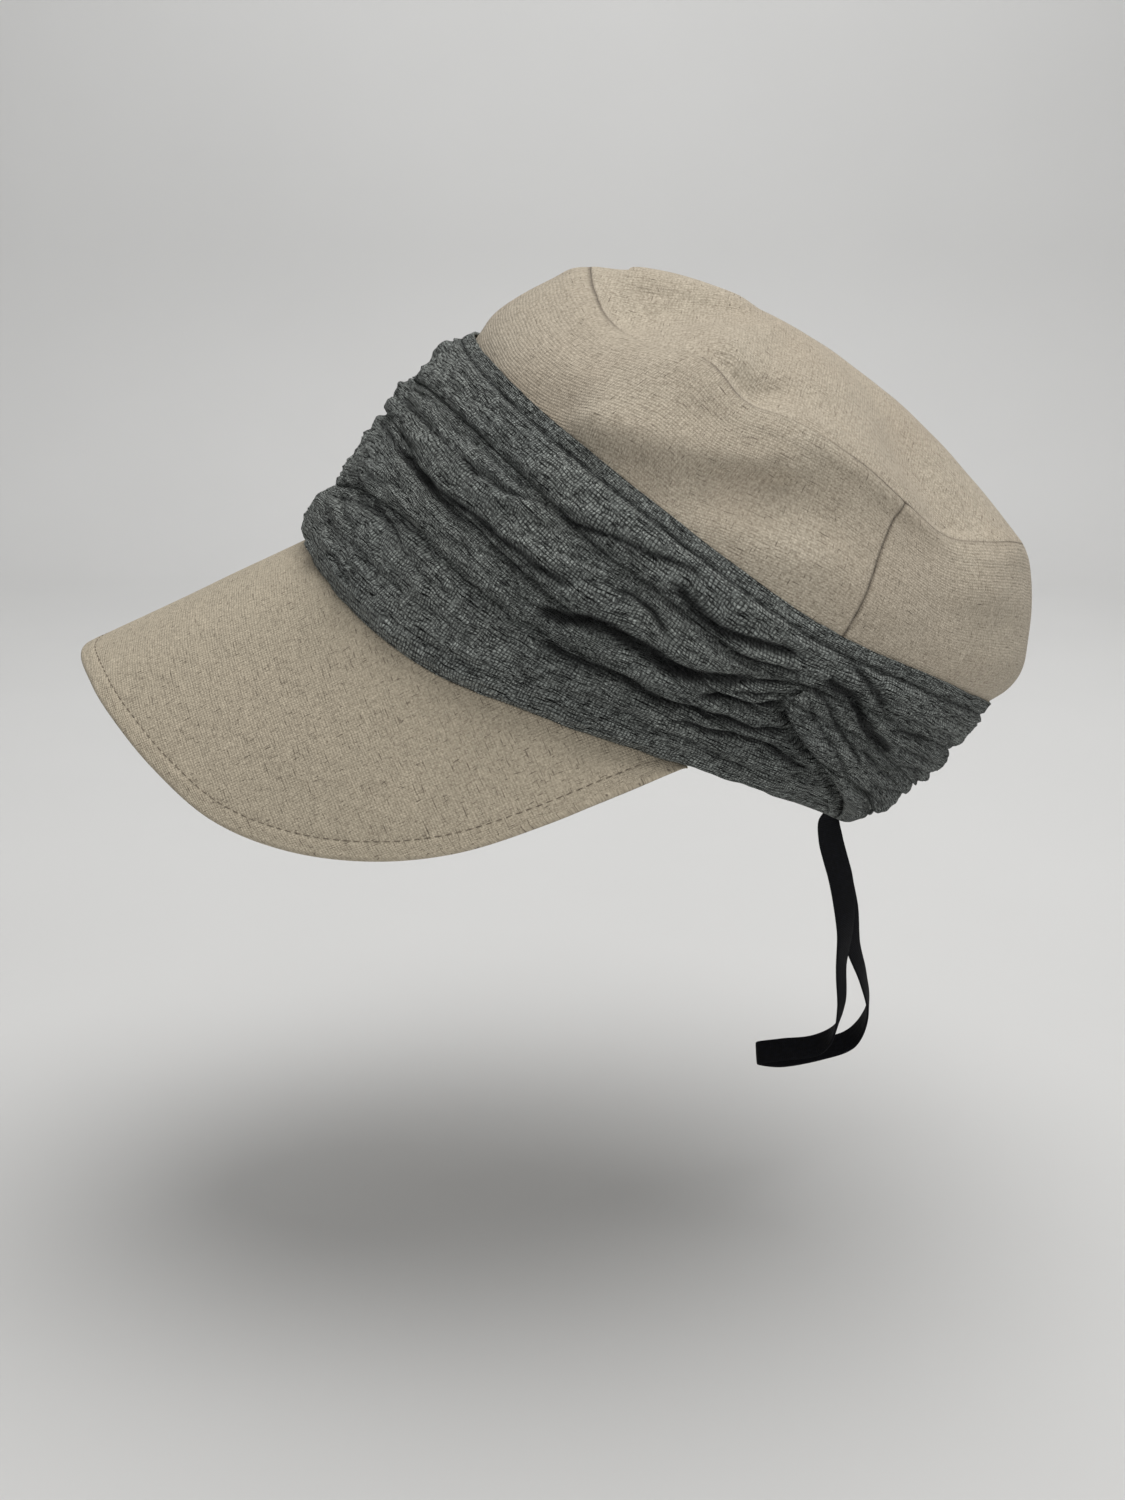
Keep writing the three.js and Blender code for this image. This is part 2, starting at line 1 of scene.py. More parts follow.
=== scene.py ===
# Linen peaked cap with a pleated gauze band and a flat tape loop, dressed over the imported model.
# Metres, +Z up, the peak points to -X and the wearer's left is -Y. Turns are degrees from the front.
import math
import bmesh
import bpy
import numpy as np
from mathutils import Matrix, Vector


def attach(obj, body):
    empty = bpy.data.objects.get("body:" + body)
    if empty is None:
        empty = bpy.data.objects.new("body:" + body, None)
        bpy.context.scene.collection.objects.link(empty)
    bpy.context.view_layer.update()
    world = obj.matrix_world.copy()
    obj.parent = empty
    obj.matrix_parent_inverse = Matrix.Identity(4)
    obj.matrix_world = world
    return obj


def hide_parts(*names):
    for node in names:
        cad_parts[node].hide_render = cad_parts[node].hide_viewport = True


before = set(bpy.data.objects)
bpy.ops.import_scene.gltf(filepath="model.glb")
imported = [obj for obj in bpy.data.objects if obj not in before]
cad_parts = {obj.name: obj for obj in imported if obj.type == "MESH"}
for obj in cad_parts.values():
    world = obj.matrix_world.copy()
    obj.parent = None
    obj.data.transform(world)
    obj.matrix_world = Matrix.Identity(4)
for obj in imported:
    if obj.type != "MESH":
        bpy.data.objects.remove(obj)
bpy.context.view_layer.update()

print("packed model loaded")

cameraSettings = {"place": (-0.006, -0.551, 0.142), "downwards": 17, "lens": 42}


def addCamera():
    lens = bpy.data.cameras.new("camera")
    lens.lens = cameraSettings["lens"]
    lens.sensor_width = 36
    lens.clip_start = 0.02
    camera = bpy.data.objects.new("camera", lens)
    camera.location = cameraSettings["place"]
    camera.rotation_euler = (math.radians(90 - cameraSettings["downwards"]), 0, 0)
    bpy.context.scene.collection.objects.link(camera)
    bpy.context.scene.camera = camera


addCamera()


# Small helpers for node materials: an input is a number, a colour or another node's output
def addNode(tree, kind, inputs=None, **settings):
    node = tree.nodes.new("ShaderNode" + kind)
    for name, value in settings.items():
        setattr(node, name, value)
    for name, value in (inputs or {}).items():
        if isinstance(value, bpy.types.NodeSocket):
            tree.links.new(value, node.inputs[name])
        else:
            node.inputs[name].default_value = value
    return node


def calculate(tree, operation, first, second=0.0):
    return addNode(tree, "Math", {0: first, 1: second}, operation=operation).outputs[0]


def times(tree, first, second):
    return calculate(tree, "MULTIPLY", first, second)


def weighed(tree, first, firstShare, second, secondShare):
    return calculate(tree, "ADD", times(tree, first, firstShare), times(tree, second, secondShare))


def mixColours(tree, share, first, second):
    return addNode(tree, "Mix", {0: share, 6: first, 7: second}, data_type="RGBA").outputs[2]


def noiseAt(tree, place, across, along, detail=2.0, roughness=0.5, output=0):
    spot = stretched(tree, place, across, along)
    node = addNode(tree, "TexNoise", {"Vector": spot, "Scale": 1.0, "Detail": detail, "Roughness": roughness})
    return node.outputs[output]


def ramp(tree, value, low, high):
    node = addNode(tree, "MapRange", {"Value": value, "From Min": low, "From Max": high})
    return node.outputs[0]


def stretched(tree, place, across, along):
    # coordinates in threads, from coordinates in metres
    return addNode(tree, "Mapping", {"Vector": place, "Scale": (1 / across, 1 / along, 1 / across)}).outputs[0]


def startMaterial(name):
    material = bpy.data.materials.new(name)
    material.use_nodes = True
    material.node_tree.nodes.clear()
    return material, material.node_tree


def finishMaterial(tree, colour, height, settings, puckers=None):
    relief = {"Height": height, "Strength": settings["bump"], "Distance": settings["relief"]}
    if puckers is not None:
        relief["Normal"] = puckers
    bump = addNode(tree, "Bump", relief)
    shader = addNode(tree, "BsdfPrincipled", {"Base Color": colour, "Roughness": settings["roughness"],
                                              "Specular IOR Level": settings["gloss"],
                                              "Sheen Weight": settings["sheen"], "Normal": bump.outputs[0]})
    shader.inputs["Sheen Roughness"].default_value = 0.6
    addNode(tree, "OutputMaterial", {"Surface": shader.outputs[0]})


# One woven surface from a flat grid: shape(u, v) gives its points, cloth(u, v) its flat place in metres
def clothPiece(name, columns, rows, shape, cloth, material, thickness=0.0, paintedShade=None):
    mesh = bmesh.new()
    bmesh.ops.create_grid(mesh, x_segments=columns, y_segments=rows, size=0.5)
    flat = np.array([corner.co[:2] for corner in mesh.verts]) + 0.5
    for corner, point in zip(mesh.verts, shape(flat[:, 0], flat[:, 1])):
        corner.co = point
    laid = cloth(flat[:, 0], flat[:, 1])
    # the optional function gives painted shade for creases and seams, kept on the points for the material to darken
    # by
    if paintedShade is not None:
        dark = mesh.verts.layers.float.new("paintedShade")
        for corner, amount in zip(mesh.verts, paintedShade(flat[:, 0], flat[:, 1])):
            corner[dark] = amount
    layer = mesh.loops.layers.uv.new("cloth")
    mesh.verts.index_update()
    for face in mesh.faces:
        for loop in face.loops:
            loop[layer].uv = laid[loop.vert.index]
    piece = addPiece(name, mesh, material)
    if thickness:
        wall = piece.modifiers.new("thickness", "SOLIDIFY")
        wall.thickness, wall.offset = thickness, -1
    return piece


def addPiece(name, mesh, material):
    for face in mesh.faces:
        face.smooth = True
    data = bpy.data.meshes.new(name)
    mesh.to_mesh(data)
    mesh.free()
    piece = bpy.data.objects.new(name, data)
    bpy.context.scene.collection.objects.link(piece)
    data.materials.append(material)
    return piece


def reworked(piece, work):
    mesh = bmesh.new()
    mesh.from_mesh(piece.data)
    work(mesh)
    mesh.to_mesh(piece.data)
    mesh.free()


def dress(piece, slot, *nodes):
    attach(piece, "root")
    if nodes:
        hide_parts(*nodes)


def lengthOf(vectors):
    return np.linalg.norm(vectors, axis=-1)


def unit(vectors):
    return vectors / lengthOf(vectors)[..., None]


def lengthsAlong(points):
    return np.concatenate([[0], np.cumsum(lengthOf(np.diff(points, axis=0)))])


def spotsAlong(at, lengths, rows):
    return np.stack([np.interp(at, lengths, rows[:, column]) for column in range(rows.shape[1])], -1)


def ease(value, low, high):
    share = np.clip((value - low) / (high - low), 0, 1)
    return share * share * (3 - 2 * share)


def softNoise(places, seed):
    # smooth seeded noise from -1 to 1 at places counted in bumps, an array of rows of two or three
    places = np.asarray(places, float)
    low = np.floor(places).astype(np.int64)
    share = places - low
    share = share * share * (3 - 2 * share)
    total = np.zeros(len(places))
    for corner in range(2 ** places.shape[1]):
        key = np.full(len(places), seed * 7919, np.int64)
        weight = np.ones(len(places))
        for axis in range(places.shape[1]):
            bit = (corner >> axis) & 1
            key = key * 31 + (low[:, axis] + bit) * (73856093, 19349663, 83492791)[axis]
            weight = weight * np.where(bit, share[:, axis], 1 - share[:, axis])
        mixed = np.sin(np.mod(key, 65536) * 12.9898) * 43758.5453
        total += weight * (2 * (mixed - np.floor(mixed)) - 1)
    return total


# Tape: one flat strip, down, round at its foot and up again
tapeSizes = {"width": 0.008, "thickness": 0.0009}
tapeRoute = [  # x, y, z in millimetres, the compass turn of its width and how far that leans up
    (85.4, -27.6, -34, 70, -10), (80.4, -26.4, -36.4, 69, -8), (78.6, -25.8, -41.2, 30, 0), (79.6, -25, -48.5, 10, 0),
    (81.8, -23, -56, 5, 0), (84, -20.8, -63, 7, 0), (86.2, -17.8, -73, 20, 0), (87.4, -15.5, -84, 42, 0),
    (87.2, -13, -99, 58, 0), (88, -12, -113, 62, 5), (86, -11, -123, 72, 20), (80.5, -10, -128.5, 88, 38),
    (69, -8.5, -131, 90, 45), (61, -5.2, -134, 90, 45), (69, -2.4, -136.6, 90, 45), (83, -3.4, -133.4, 92, 42),
    (93.2, -4.4, -128.8, 96, 30), (98.2, -4.8, -118, 82, 10), (96.2, -4.8, -106, 66, 0), (92.2, -5.2, -94, 48, 0),
    (89.4, -6.4, -80, 20, 0), (86.2, -8.2, -68, 12, 0), (83.4, -9.6, -59, 24, 0), (81.4, -10.4, -52.5, 55, 0),
    (80.7, -10.8, -46.4, 78, 0), (82.8, -10.9, -41.6, 80, -6), (87.6, -11, -38.8, 81, -8),
]
tapeLook = {"rib": 0.0007, "cord": 0.0011, "dark": (0.0016, 0.0018, 0.0026, 1),
            "light": (0.004, 0.0045, 0.0075, 1), "bump": 0.5, "relief": 0.00015, "roughness": 0.8,
            "gloss": 0.16, "sheen": 0.0}


def tapeCurve(steps):
    # points, directions and widths along a centripetal curve through the route
    rows = np.array(tapeRoute, float)
    stops = rows[:, :3] / 1000
    padded = np.vstack([2 * stops[0] - stops[1], stops, 2 * stops[-1] - stops[-2]])
    points, facing = [], []
    for row in range(len(stops) - 1):
        near = padded[row:row + 4]
        gaps = lengthOf(np.diff(near, axis=0)) ** 0.5
        ways = np.diff(near, axis=0) / gaps[:, None]
        leave = gaps[1] * (ways[0] - (near[2] - near[0]) / (gaps[0] + gaps[1]) + ways[1])
        arrive = gaps[1] * (ways[1] - (near[3] - near[1]) / (gaps[1] + gaps[2]) + ways[2])
        for share in np.linspace(0, 1, 12, endpoint=row == len(stops) - 2):
            points.append((2 * share**3 - 3 * share**2 + 1) * near[1] + (3 * share**2 - 2 * share**3) * near[2]
                          + (share**3 - 2 * share**2 + share) * leave + (share**3 - share**2) * arrive)
            facing.append(rows[row, 3:] + (rows[row + 1, 3:] - rows[row, 3:]) * share)
    points, facing = np.array(points), np.array(facing)
    travelled = lengthsAlong(points)
    even = np.linspace(0, travelled[-1], steps)
    places = spotsAlong(even, travelled, points)
    turn, lean = np.radians(spotsAlong(even, travelled, facing)).T
    heading = unit(np.gradient(places, axis=0))
    width = np.stack([np.cos(turn) * np.cos(lean), np.sin(turn) * np.cos(lean), np.sin(lean)], -1)
    width = unit(width - (width * heading).sum(-1, keepdims=True) * heading)
    return places, heading, width, travelled[-1]


def ribbedTape():
    material, tree = startMaterial("tape")
    place = addNode(tree, "UVMap", uv_map="cloth").outputs[0]
    parts = addNode(tree, "SeparateXYZ", {"Vector": place})
    rib, cord = (calculate(tree, "SINE", times(tree, parts.outputs[axis], 2 * math.pi / tapeLook[pitch]))
                 for axis, pitch in ((1, "rib"), (0, "cord")))
    dust = noiseAt(tree, place, 0.0009, 0.0016, 3.0)
    colour = mixColours(tree, ramp(tree, dust, 0.4, 0.75), tapeLook["dark"], tapeLook["light"])
    finishMaterial(tree, colour, weighed(tree, rib, 0.5, cord, 0.25), tapeLook)
    return material


def makeTape():
    steps, around = 260, 24
    places, heading, width, length = tapeCurve(steps)
    thick = np.cross(heading, width)
    half, thin = tapeSizes["width"] / 2, tapeSizes["thickness"] / 2

    def shape(u, v):
        row = np.rint(v * (steps - 1)).astype(int)
        angle = 2 * np.pi * u
        side = np.sign(np.cos(angle)) * np.abs(np.cos(angle)) ** 0.7
        face = np.sign(np.sin(angle)) * np.abs(np.sin(angle)) ** 0.45
        return places[row] + width[row] * (side * half)[:, None] + thick[row] * (face * thin)[:, None]

    def cloth(u, v):
        return np.stack([np.cos(2 * np.pi * u) * half, v * length], -1)

    def closeEnds(mesh):
        bmesh.ops.remove_doubles(mesh, verts=mesh.verts, dist=0.00001)
        bmesh.ops.holes_fill(mesh, edges=[edge for edge in mesh.edges if edge.is_boundary], sides=0)
        bmesh.ops.recalc_face_normals(mesh, faces=mesh.faces)

    tape = clothPiece("backTape", around, steps - 1, shape, cloth, ribbedTape())
    reworked(tape, closeEnds)
    dress(tape, "tape", "back_tape")
    print("tape made,", round(float(length), 4), "m")


makeTape()

# Woven cloth: threads of uneven tone in both directions, gaps between them and, on linen, short dark slubs
# the slubs' dark colour is also the colour of the painted shade in creases and seams, and the strength of that
# painted shade is set here too
linenLook = {"thread": 0.00086, "light": (0.62, 0.552, 0.442, 1), "dark": (0.235, 0.196, 0.145, 1),
             "warm": (0.572, 0.498, 0.394, 1), "slubAndShade": (0.085, 0.066, 0.048, 1), "slubs": 0.645, "gap": 0.25,
             "uneven": 0.3, "run": 5, "wander": 1.2, "tones": (0.2, 0.72), "pucker": 0.0016,
             "puckerLong": 0.02, "puckerWide": 0.014, "paintedShadeStrength": 0.62, "bump": 0.7, "relief": 0.0004,
             "roughness": 0.92, "gloss": 0.16, "sheen": 0.06}
gauzeLook = {"thread": 0.0009, "light": (0.455, 0.486, 0.456, 1), "dark": (0.012, 0.0135, 0.013, 1),
             "warm": (0.37, 0.40, 0.38, 1), "slubAndShade": (0.009, 0.0105, 0.0105, 1), "slubs": 0.68, "gap": 0.95,
             "uneven": 0.26, "run": 4, "wander": 2.8, "tones": (0.25, 0.67), "pucker": 0.0056,
             "puckerLong": 0.012, "puckerWide": 0.0024, "paintedShadeStrength": 0.88, "bump": 1.0, "relief": 0.0009,
             "roughness": 0.95, "gloss": 0.1, "sheen": 0.08}


def wovenCloth(name, look):
    material, tree = startMaterial(name)
    place = addNode(tree, "UVMap", uv_map="cloth").outputs[0]
    thread = look["thread"]
    wander = noiseAt(tree, place, 0.006, 0.006, 3.0, output=1)
    shift = addNode(tree, "VectorMath", {0: wander, "Scale": thread * look["wander"]}, operation="SCALE")
    cloth = addNode(tree, "VectorMath", {0: place, 1: shift.outputs[0]}, operation="ADD").outputs[0]

    # the over and under of the weave
    counted = addNode(tree, "SeparateXYZ", {"Vector": stretched(tree, cloth, thread, thread)})
    crossing = times(tree, *(calculate(tree, "ABSOLUTE", calculate(tree, "SINE", times(tree, axis, math.pi)))
                             for axis in counted.outputs[:2]))
    lying = noiseAt(tree, cloth, thread * look["run"], thread * 0.9)
    standing = noiseAt(tree, cloth, thread * 0.9, thread * look["run"])
    speckle = noiseAt(tree, cloth, thread * 0.8, thread * 0.8, 1.0)
    threads = weighed(tree, lying, 0.5, standing, 0.5)
    tone = ramp(tree, weighed(tree, threads, look["uneven"], speckle, 1 - look["uneven"]), *look["tones"])

    # colour: dark to light thread, warmer and cooler patches, gaps, slubs
    patch = noiseAt(tree, place, 0.035, 0.05, 3.0)
    light = mixColours(tree, ramp(tree, patch, 0.38, 0.66), look["light"], look["warm"])
    colour = mixColours(tree, tone, look["dark"], light)
    gap = calculate(tree, "SUBTRACT", 1.0, ramp(tree, crossing, 0.05, 0.6))
    closeness = ramp(tree, noiseAt(tree, cloth, thread * 2.1, thread * 2.1, 1.0), 0.25, 0.6)
    gap = times(tree, times(tree, gap, look["gap"]), calculate(tree, "ADD", 0.45, times(tree, closeness, 0.55)))
    colour = mixColours(tree, gap, colour, look["dark"])
    for across, along in ((0.0062, 0.0005), (0.0005, 0.0036)):
        fleck = noiseAt(tree, place, across, along, 2.0, 0.6)
        shown = times(tree, ramp(tree, fleck, look["slubs"], look["slubs"] + 0.05), 0.7)
        colour = mixColours(tree, shown, colour, look["slubAndShade"])

    # painted shade: the colour darkens in creases and along seams, by the amount each piece keeps on its points
    paintedShade = addNode(tree, "Attribute", attribute_name="paintedShade").outputs["Fac"]
    colour = mixColours(tree, times(tree, paintedShade, look["paintedShadeStrength"]), colour, look["slubAndShade"])

    waves = noiseAt(tree, place, look["puckerLong"], look["puckerWide"], 3.0, 0.55)
    ridges = calculate(tree, "ABSOLUTE", calculate(tree, "SUBTRACT", waves, 0.5))
    puckers = addNode(tree, "Bump", {"Height": ridges, "Strength": 1.0, "Distance": look["pucker"]}).outputs[0]
    finishMaterial(tree, colour, weighed(tree, crossing, 0.6, threads, 0.9), look, puckers)
    return material


# Crown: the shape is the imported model's own, from the same shares of the same sizes
crown = {"wearTilt": 28, "rimHalfLength": 0.097, "rimHalfWidth": 0.0825, "seamHeight": 0.1134, "domeHeight": 0.1271,
         "rimRise": 0.0085, "linenThickness": 0.0015, "seamGap": 0.0004, "widestAtRim": 0.002, "widestAtSeam": 0.008,
         "domePowerFront": 2.15, "domePowerRear": 1.65, "backSeamBehind": 0.515, "seamDepth": 0.0003,
         "panelGap": 0.00008, "meanRadius": 0.088, "clothRadius": 0.095, "clothHeight": 0.108,
         "seamRoll": 0.0009, "seamLine": 0.00042, "softness": 0.0007, "skirt": 0.003}
wallProfile = {
    "up": [0, 0.06, 0.15, 0.28, 0.4, 0.51, 0.6, 0.68, 0.77, 0.86, 0.93, 0.97, 1],
    "front": [0.985, 0.975, 0.953, 0.938, 0.92, 0.882, 0.85, 0.818, 0.795, 0.738, 0.678, 0.642, 0.594],
    "side": [1, 1.005, 1.01, 1.012, 1.008, 1, 0.985, 0.965, 0.935, 0.9, 0.862, 0.83, 0.8],
    "rear": [0.99, 1.034, 1.078, 1.14, 1.172, 1.206, 1.256, 1.262, 1.227, 1.181, 1.13, 1.093, 1.053],
}
rimLine = {
    "turn": [0, 29, 46, 61, 77, 91, 104, 126, 141, 160, 180],
    "height": [0, -0.14, -0.36, -0.32, 0.2, 0.6, 0.95, 1.03, 0.85, 0.3, -0.24],
}
seamLine = {
    "turn": [0, 20, 32, 44, 67, 79, 91, 105, 116, 129, 141, 152, 180],
    "height": [1, 0.955, 0.918, 0.906, 0.948, 0.91, 0.925, 0.914, 0.882, 0.852, 0.882, 0.909, 0.91],
}
# turn, share of the height or of the way out, depth, spread of turn, spread of the share
wallDents = [(38, 0.84, -0.02, 17, 0.09), (97, 0.84, 0.05, 13, 0.075), (148, 0.86, 0.018, 12, 0.1)]
topDents = [(34, 0.84, 0.034, 12, 0.15), (58, 0.8, -0.016, 12, 0.14), (82, 0.88, 0.028, 13, 0.12),
            (128, 0.86, 0.03, 12, 0.16)]
# how plainly the top seam shows round the head
seamShown = {"turn": [0, 34, 44, 62, 69, 80, 88, 96, 104, 126, 134, 180],
             "share": [1, 0.9, 0, 0, 1, 0.7, 0.3, 0.35, 1, 1, 0.8, 0.8]}


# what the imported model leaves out: hollows (turn, share, depth in mm, the two spreads) and soft folds along lines
# (places, depth and width in mm), which stand out above their line and sink in below it
wallSlumps = [(116, 0.93, 2.2, 9, 0.06), (138, 0.9, -2.2, 7, 0.07), (92, 0.66, -1.6, 10, 0.07),
              (54, 0.86, -1.2, 9, 0.06)]
topSlumps = [(90, 0.93, -1.8, 7, 0.06), (120, 0.9, -1.2, 9, 0.07)]
wallFolds = [
    ([(50, 0.69), (58, 0.685), (64, 0.69), (72, 0.72), (82, 0.78), (91, 0.80), (96, 0.85), (100, 0.93)], 3.9, 7.0),
    ([(126, 0.78), (136, 0.8), (148, 0.8), (160, 0.77)], 0.9, 6.0),
]
topFolds = [
    ([(14, 0.99), (18, 0.88), (21, 0.76), (28, 0.61), (40, 0.5), (62, 0.42)], -2.6, 8.5),
    ([(58, 0.96), (66, 0.95), (72, 0.94), (78, 0.9), (86, 0.83), (94, 0.77)], -2.2, 5.5),
]


def sampled(table, key, column, place, mirrored=True):
    # value on a smooth curve through the rows of a table
    at, value = np.array(table[key], float), np.array(table[column], float)
    chord = np.diff(value) / np.diff(at)
    slope = np.zeros(len(at))
    slope[1:-1] = (chord[:-1] + chord[1:]) / 2
    if not mirrored:
        slope[0], slope[-1] = chord[0], chord[-1]
    row = np.clip(np.searchsorted(at, place) - 1, 0, len(at) - 2)
    span = np.diff(at)[row]
    share = np.clip((place - at[row]) / span, 0, 1)
    start = 2 * share**3 - 3 * share**2 + 1
    pull = (share**3 - 2 * share**2 + share) * slope[row] + (share**3 - share**2) * slope[row + 1]
    return start * value[row] + (1 - start) * value[row + 1] + pull * span


def fromFront(turn):
    return np.abs(np.mod(turn + 180, 360) - 180)


def roundHead(table, turn, column="height"):
    return sampled(table, "turn", column, fromFront(turn))


def rimHeightAt(turn):
    return crown["rimRise"] * roundHead(rimLine, turn)


def seamHeightAt(turn):
    return crown["seamHeight"] * roundHead(seamLine, turn)


def dentDepth(dents, turn, place):
    depth = 0
    for dentTurn, dentPlace, deep, turnSpread, placeSpread in dents:
        aside, along = (fromFront(turn) - dentTurn) / turnSpread, (place - dentPlace) / placeSpread
        depth = depth + deep * crown["seamHeight"] * np.exp(-(aside**2 + along**2) / 2)
    return depth


def widestAt(up):
    return crown["widestAtRim"] + (crown["widestAtSeam"] - crown["widestAtRim"]) * up


def outlineAt(column, up):
    size = "rimHalfWidth" if column == "side" else "rimHalfLength"
    return crown[size] * sampled(wallProfile, "up", column, up, False)


def ovalPoint(turn, up, share, height):
    angle = np.radians(turn)
    forward = -np.cos(angle)
    widest = widestAt(up)
    front, rear, side = (outlineAt(column, up) for column in ("front", "rear", "side"))
    reach = np.where(forward < 0, widest + front, rear - widest)
    return np.stack(np.broadcast_arrays(widest + share * reach * forward, -share * side * np.sin(angle), height), -1)


def wallPoint(turn, up):
    rim, seam = rimHeightAt(turn), seamHeightAt(turn)
    point = ovalPoint(turn, up, 1, rim + (seam - rim) * up)
    depth = dentDepth(wallDents, turn, up) * np.minimum(1, (1 - up) / 0.06)
    outwards = np.stack([-np.cos(np.radians(turn)), -np.sin(np.radians(turn)), np.zeros_like(point[..., 0])], -1)
    return point - outwards * depth[..., None]


def topPoint(turn, out):
    seam = seamHeightAt(turn)
    frontShare = (1 + np.cos(np.radians(turn))) / 2
    power = crown["domePowerRear"] + (crown["domePowerFront"] - crown["domePowerRear"]) * frontShare
    depth = dentDepth(topDents, turn, out) * np.minimum(1, (1 - out) / 0.06)
    height = seam + (crown["domeHeight"] - seam) * (1 - out**power) - depth
    return ovalPoint(turn, np.ones_like(turn), out, height)


def softFolds(places, folds, laid):
    # places are flat ones in metres, and laid turns a line's turns and shares into such places
    relief = np.zeros(len(places))
    for line, depth, width in folds:
        stops = laid(*np.array(line, float).T)
        travelled = lengthsAlong(stops)
        nearest, aside, along = np.full(len(places), 1.0), np.zeros(len(places)), np.zeros(len(places))
        for start, end, before, length in zip(stops[:-1], stops[1:], travelled, np.diff(travelled)):
            ahead = (end - start) / length
            held = np.clip((places - start) @ ahead, 0, length)
            away = lengthOf(places - start - ahead * held[:, None])
            side = (places - start) @ np.array([-ahead[1], ahead[0]])
            better = away < nearest
            nearest, aside = np.where(better, away, nearest), np.where(better, np.sign(side) * away, aside)
            along = np.where(better, before + held, along)
        taper = min(0.014, travelled[-1] * 0.45)
        ends = ease(along, 0, taper) * ease(travelled[-1] - along, 0, taper)
        across = aside * 1000 / width
        wave = depth * across * np.exp((1 - across**2) / 2)
        relief += ends * np.where(wave < 0, 0.4 * wave, 1.1 * wave)
    return relief / 1000


def slumps(table, turn, place):
    return sum(deep / 1000 * np.exp(-(((fromFront(turn) - atTurn) / wide) ** 2 + ((place - at) / tall) ** 2) / 2)
               for atTurn, at, deep, wide, tall in table)


def normalOf(surface, turn, place, step=0.02):
    before, after = np.maximum(0, place - step), np.minimum(1, place + step)
    aside = surface(turn + 0.5, place) - surface(turn - 0.5, place)
    along = surface(turn, after) - surface(turn, before)
    return unit(np.cross(aside, along))


def worn(points):
    # tilts points of the level cap back as it is worn
    lean = math.radians(crown["wearTilt"])
    x, y, z = points[..., 0], points[..., 1], points[..., 2]
    return np.stack([x * math.cos(lean) + z * math.sin(lean), y, z * math.cos(lean) - x * math.sin(lean)], -1)


linen = wovenCloth("linen", linenLook)
gauze = wovenCloth("gauze", gauzeLook)


def panelSeamTurn(up):
    # turn of the seam between the side and the back panel
    widest = widestAt(up)
    rear = outlineAt("rear", up)
    return np.degrees(np.arccos(-(crown["backSeamBehind"] * crown["rimHalfLength"] - widest) / (rear - widest)))


def crowded(share, edge=0.18):
    # moves the grid's lines towards both ends, where the seams are
    return share - edge * np.sin(2 * np.pi * share) / np.pi


def seamFall(distance, shown=1.0):
    # how far a panel rolls in towards its seam
    return crown["seamDepth"] * shown * np.exp(-((np.maximum(distance, 0) / crown["seamRoll"]) ** 1.3))


# painted shade along a seam, strongest on its line
def seamShade(distance):
    return np.exp(-((np.maximum(distance, 0) / crown["seamLine"]) ** 2))


def topSeamShown(turn):
    return roundHead(seamShown, turn, "share")


def settled(points, seed):
    # slight unevenness of worn cloth
    return crown["softness"] * (softNoise(points / 0.026, seed) + 0.45 * softNoise(points / 0.011, seed + 1))


def wallFlat(turn, up):
    return np.stack([np.radians(fromFront(turn)) * crown["meanRadius"], up * crown["clothHeight"]], -1)


def wallRelief(turn, up):
    return softFolds(wallFlat(turn, up), wallFolds, wallFlat) - slumps(wallSlumps, turn, up)


def topFlat(turn, out):
    place = topPoint(turn, out)[..., :2]
    return np.stack([place[..., 0], np.abs(place[..., 1])], -1)


def wallPanelPiece(name, columns, rows, startTurn, endTurn):
    def place(u, v):
        up = crowded(v)
        start, end = startTurn(up), endTurn(up)
        share = crowded(u)
        return start + (end - start) * share, up, share, (end - start)

    def seamDistances(turn, up, share, span):
        return (1 - up) * seamHeightAt(turn), np.minimum(share, 1 - share) * np.radians(span) * crown["rimHalfWidth"]

    def shape(u, v):
        turn, up, share, span = place(u, v)
        points, normals = wallPoint(turn, up), normalOf(wallPoint, turn, up)
        # above the peak the wall runs on down behind it
        skirt = (1 - ease(v, 0, 0.03)) * (1 - ease(fromFront(turn), 100, 105))
        points[:, 2] -= crown["skirt"] * skirt
        points -= normals * (0.0004 * skirt)[:, None]
        fromTop, fromSide = seamDistances(turn, up, share, span)
        fall = seamFall(fromTop, topSeamShown(turn)) + seamFall(fromSide)
        worked = settled(points, 3) + wallRelief(turn, up)
        uneven = worked * ease(up, 0.5, 0.72) * ease(1 - up, 0, 0.05)
        return worn(points + normals * (uneven - fall)[:, None])

    def cloth(u, v):
        turn, up, share, span = place(u, v)
        return np.stack([np.radians(turn) * crown["clothRadius"], up * crown["clothHeight"]], -1)

    # painted shade along the top and side seams
    def paintedShade(u, v):
        turn, up, share, span = place(u, v)
        fromTop, fromSide = seamDistances(turn, up, share, span)
        return np.clip(topSeamShown(turn) * seamShade(fromTop) + seamShade(fromSide), 0, 1)

    return clothPiece(name, columns, rows, shape, cloth, linen, crown["linenThickness"], paintedShade)


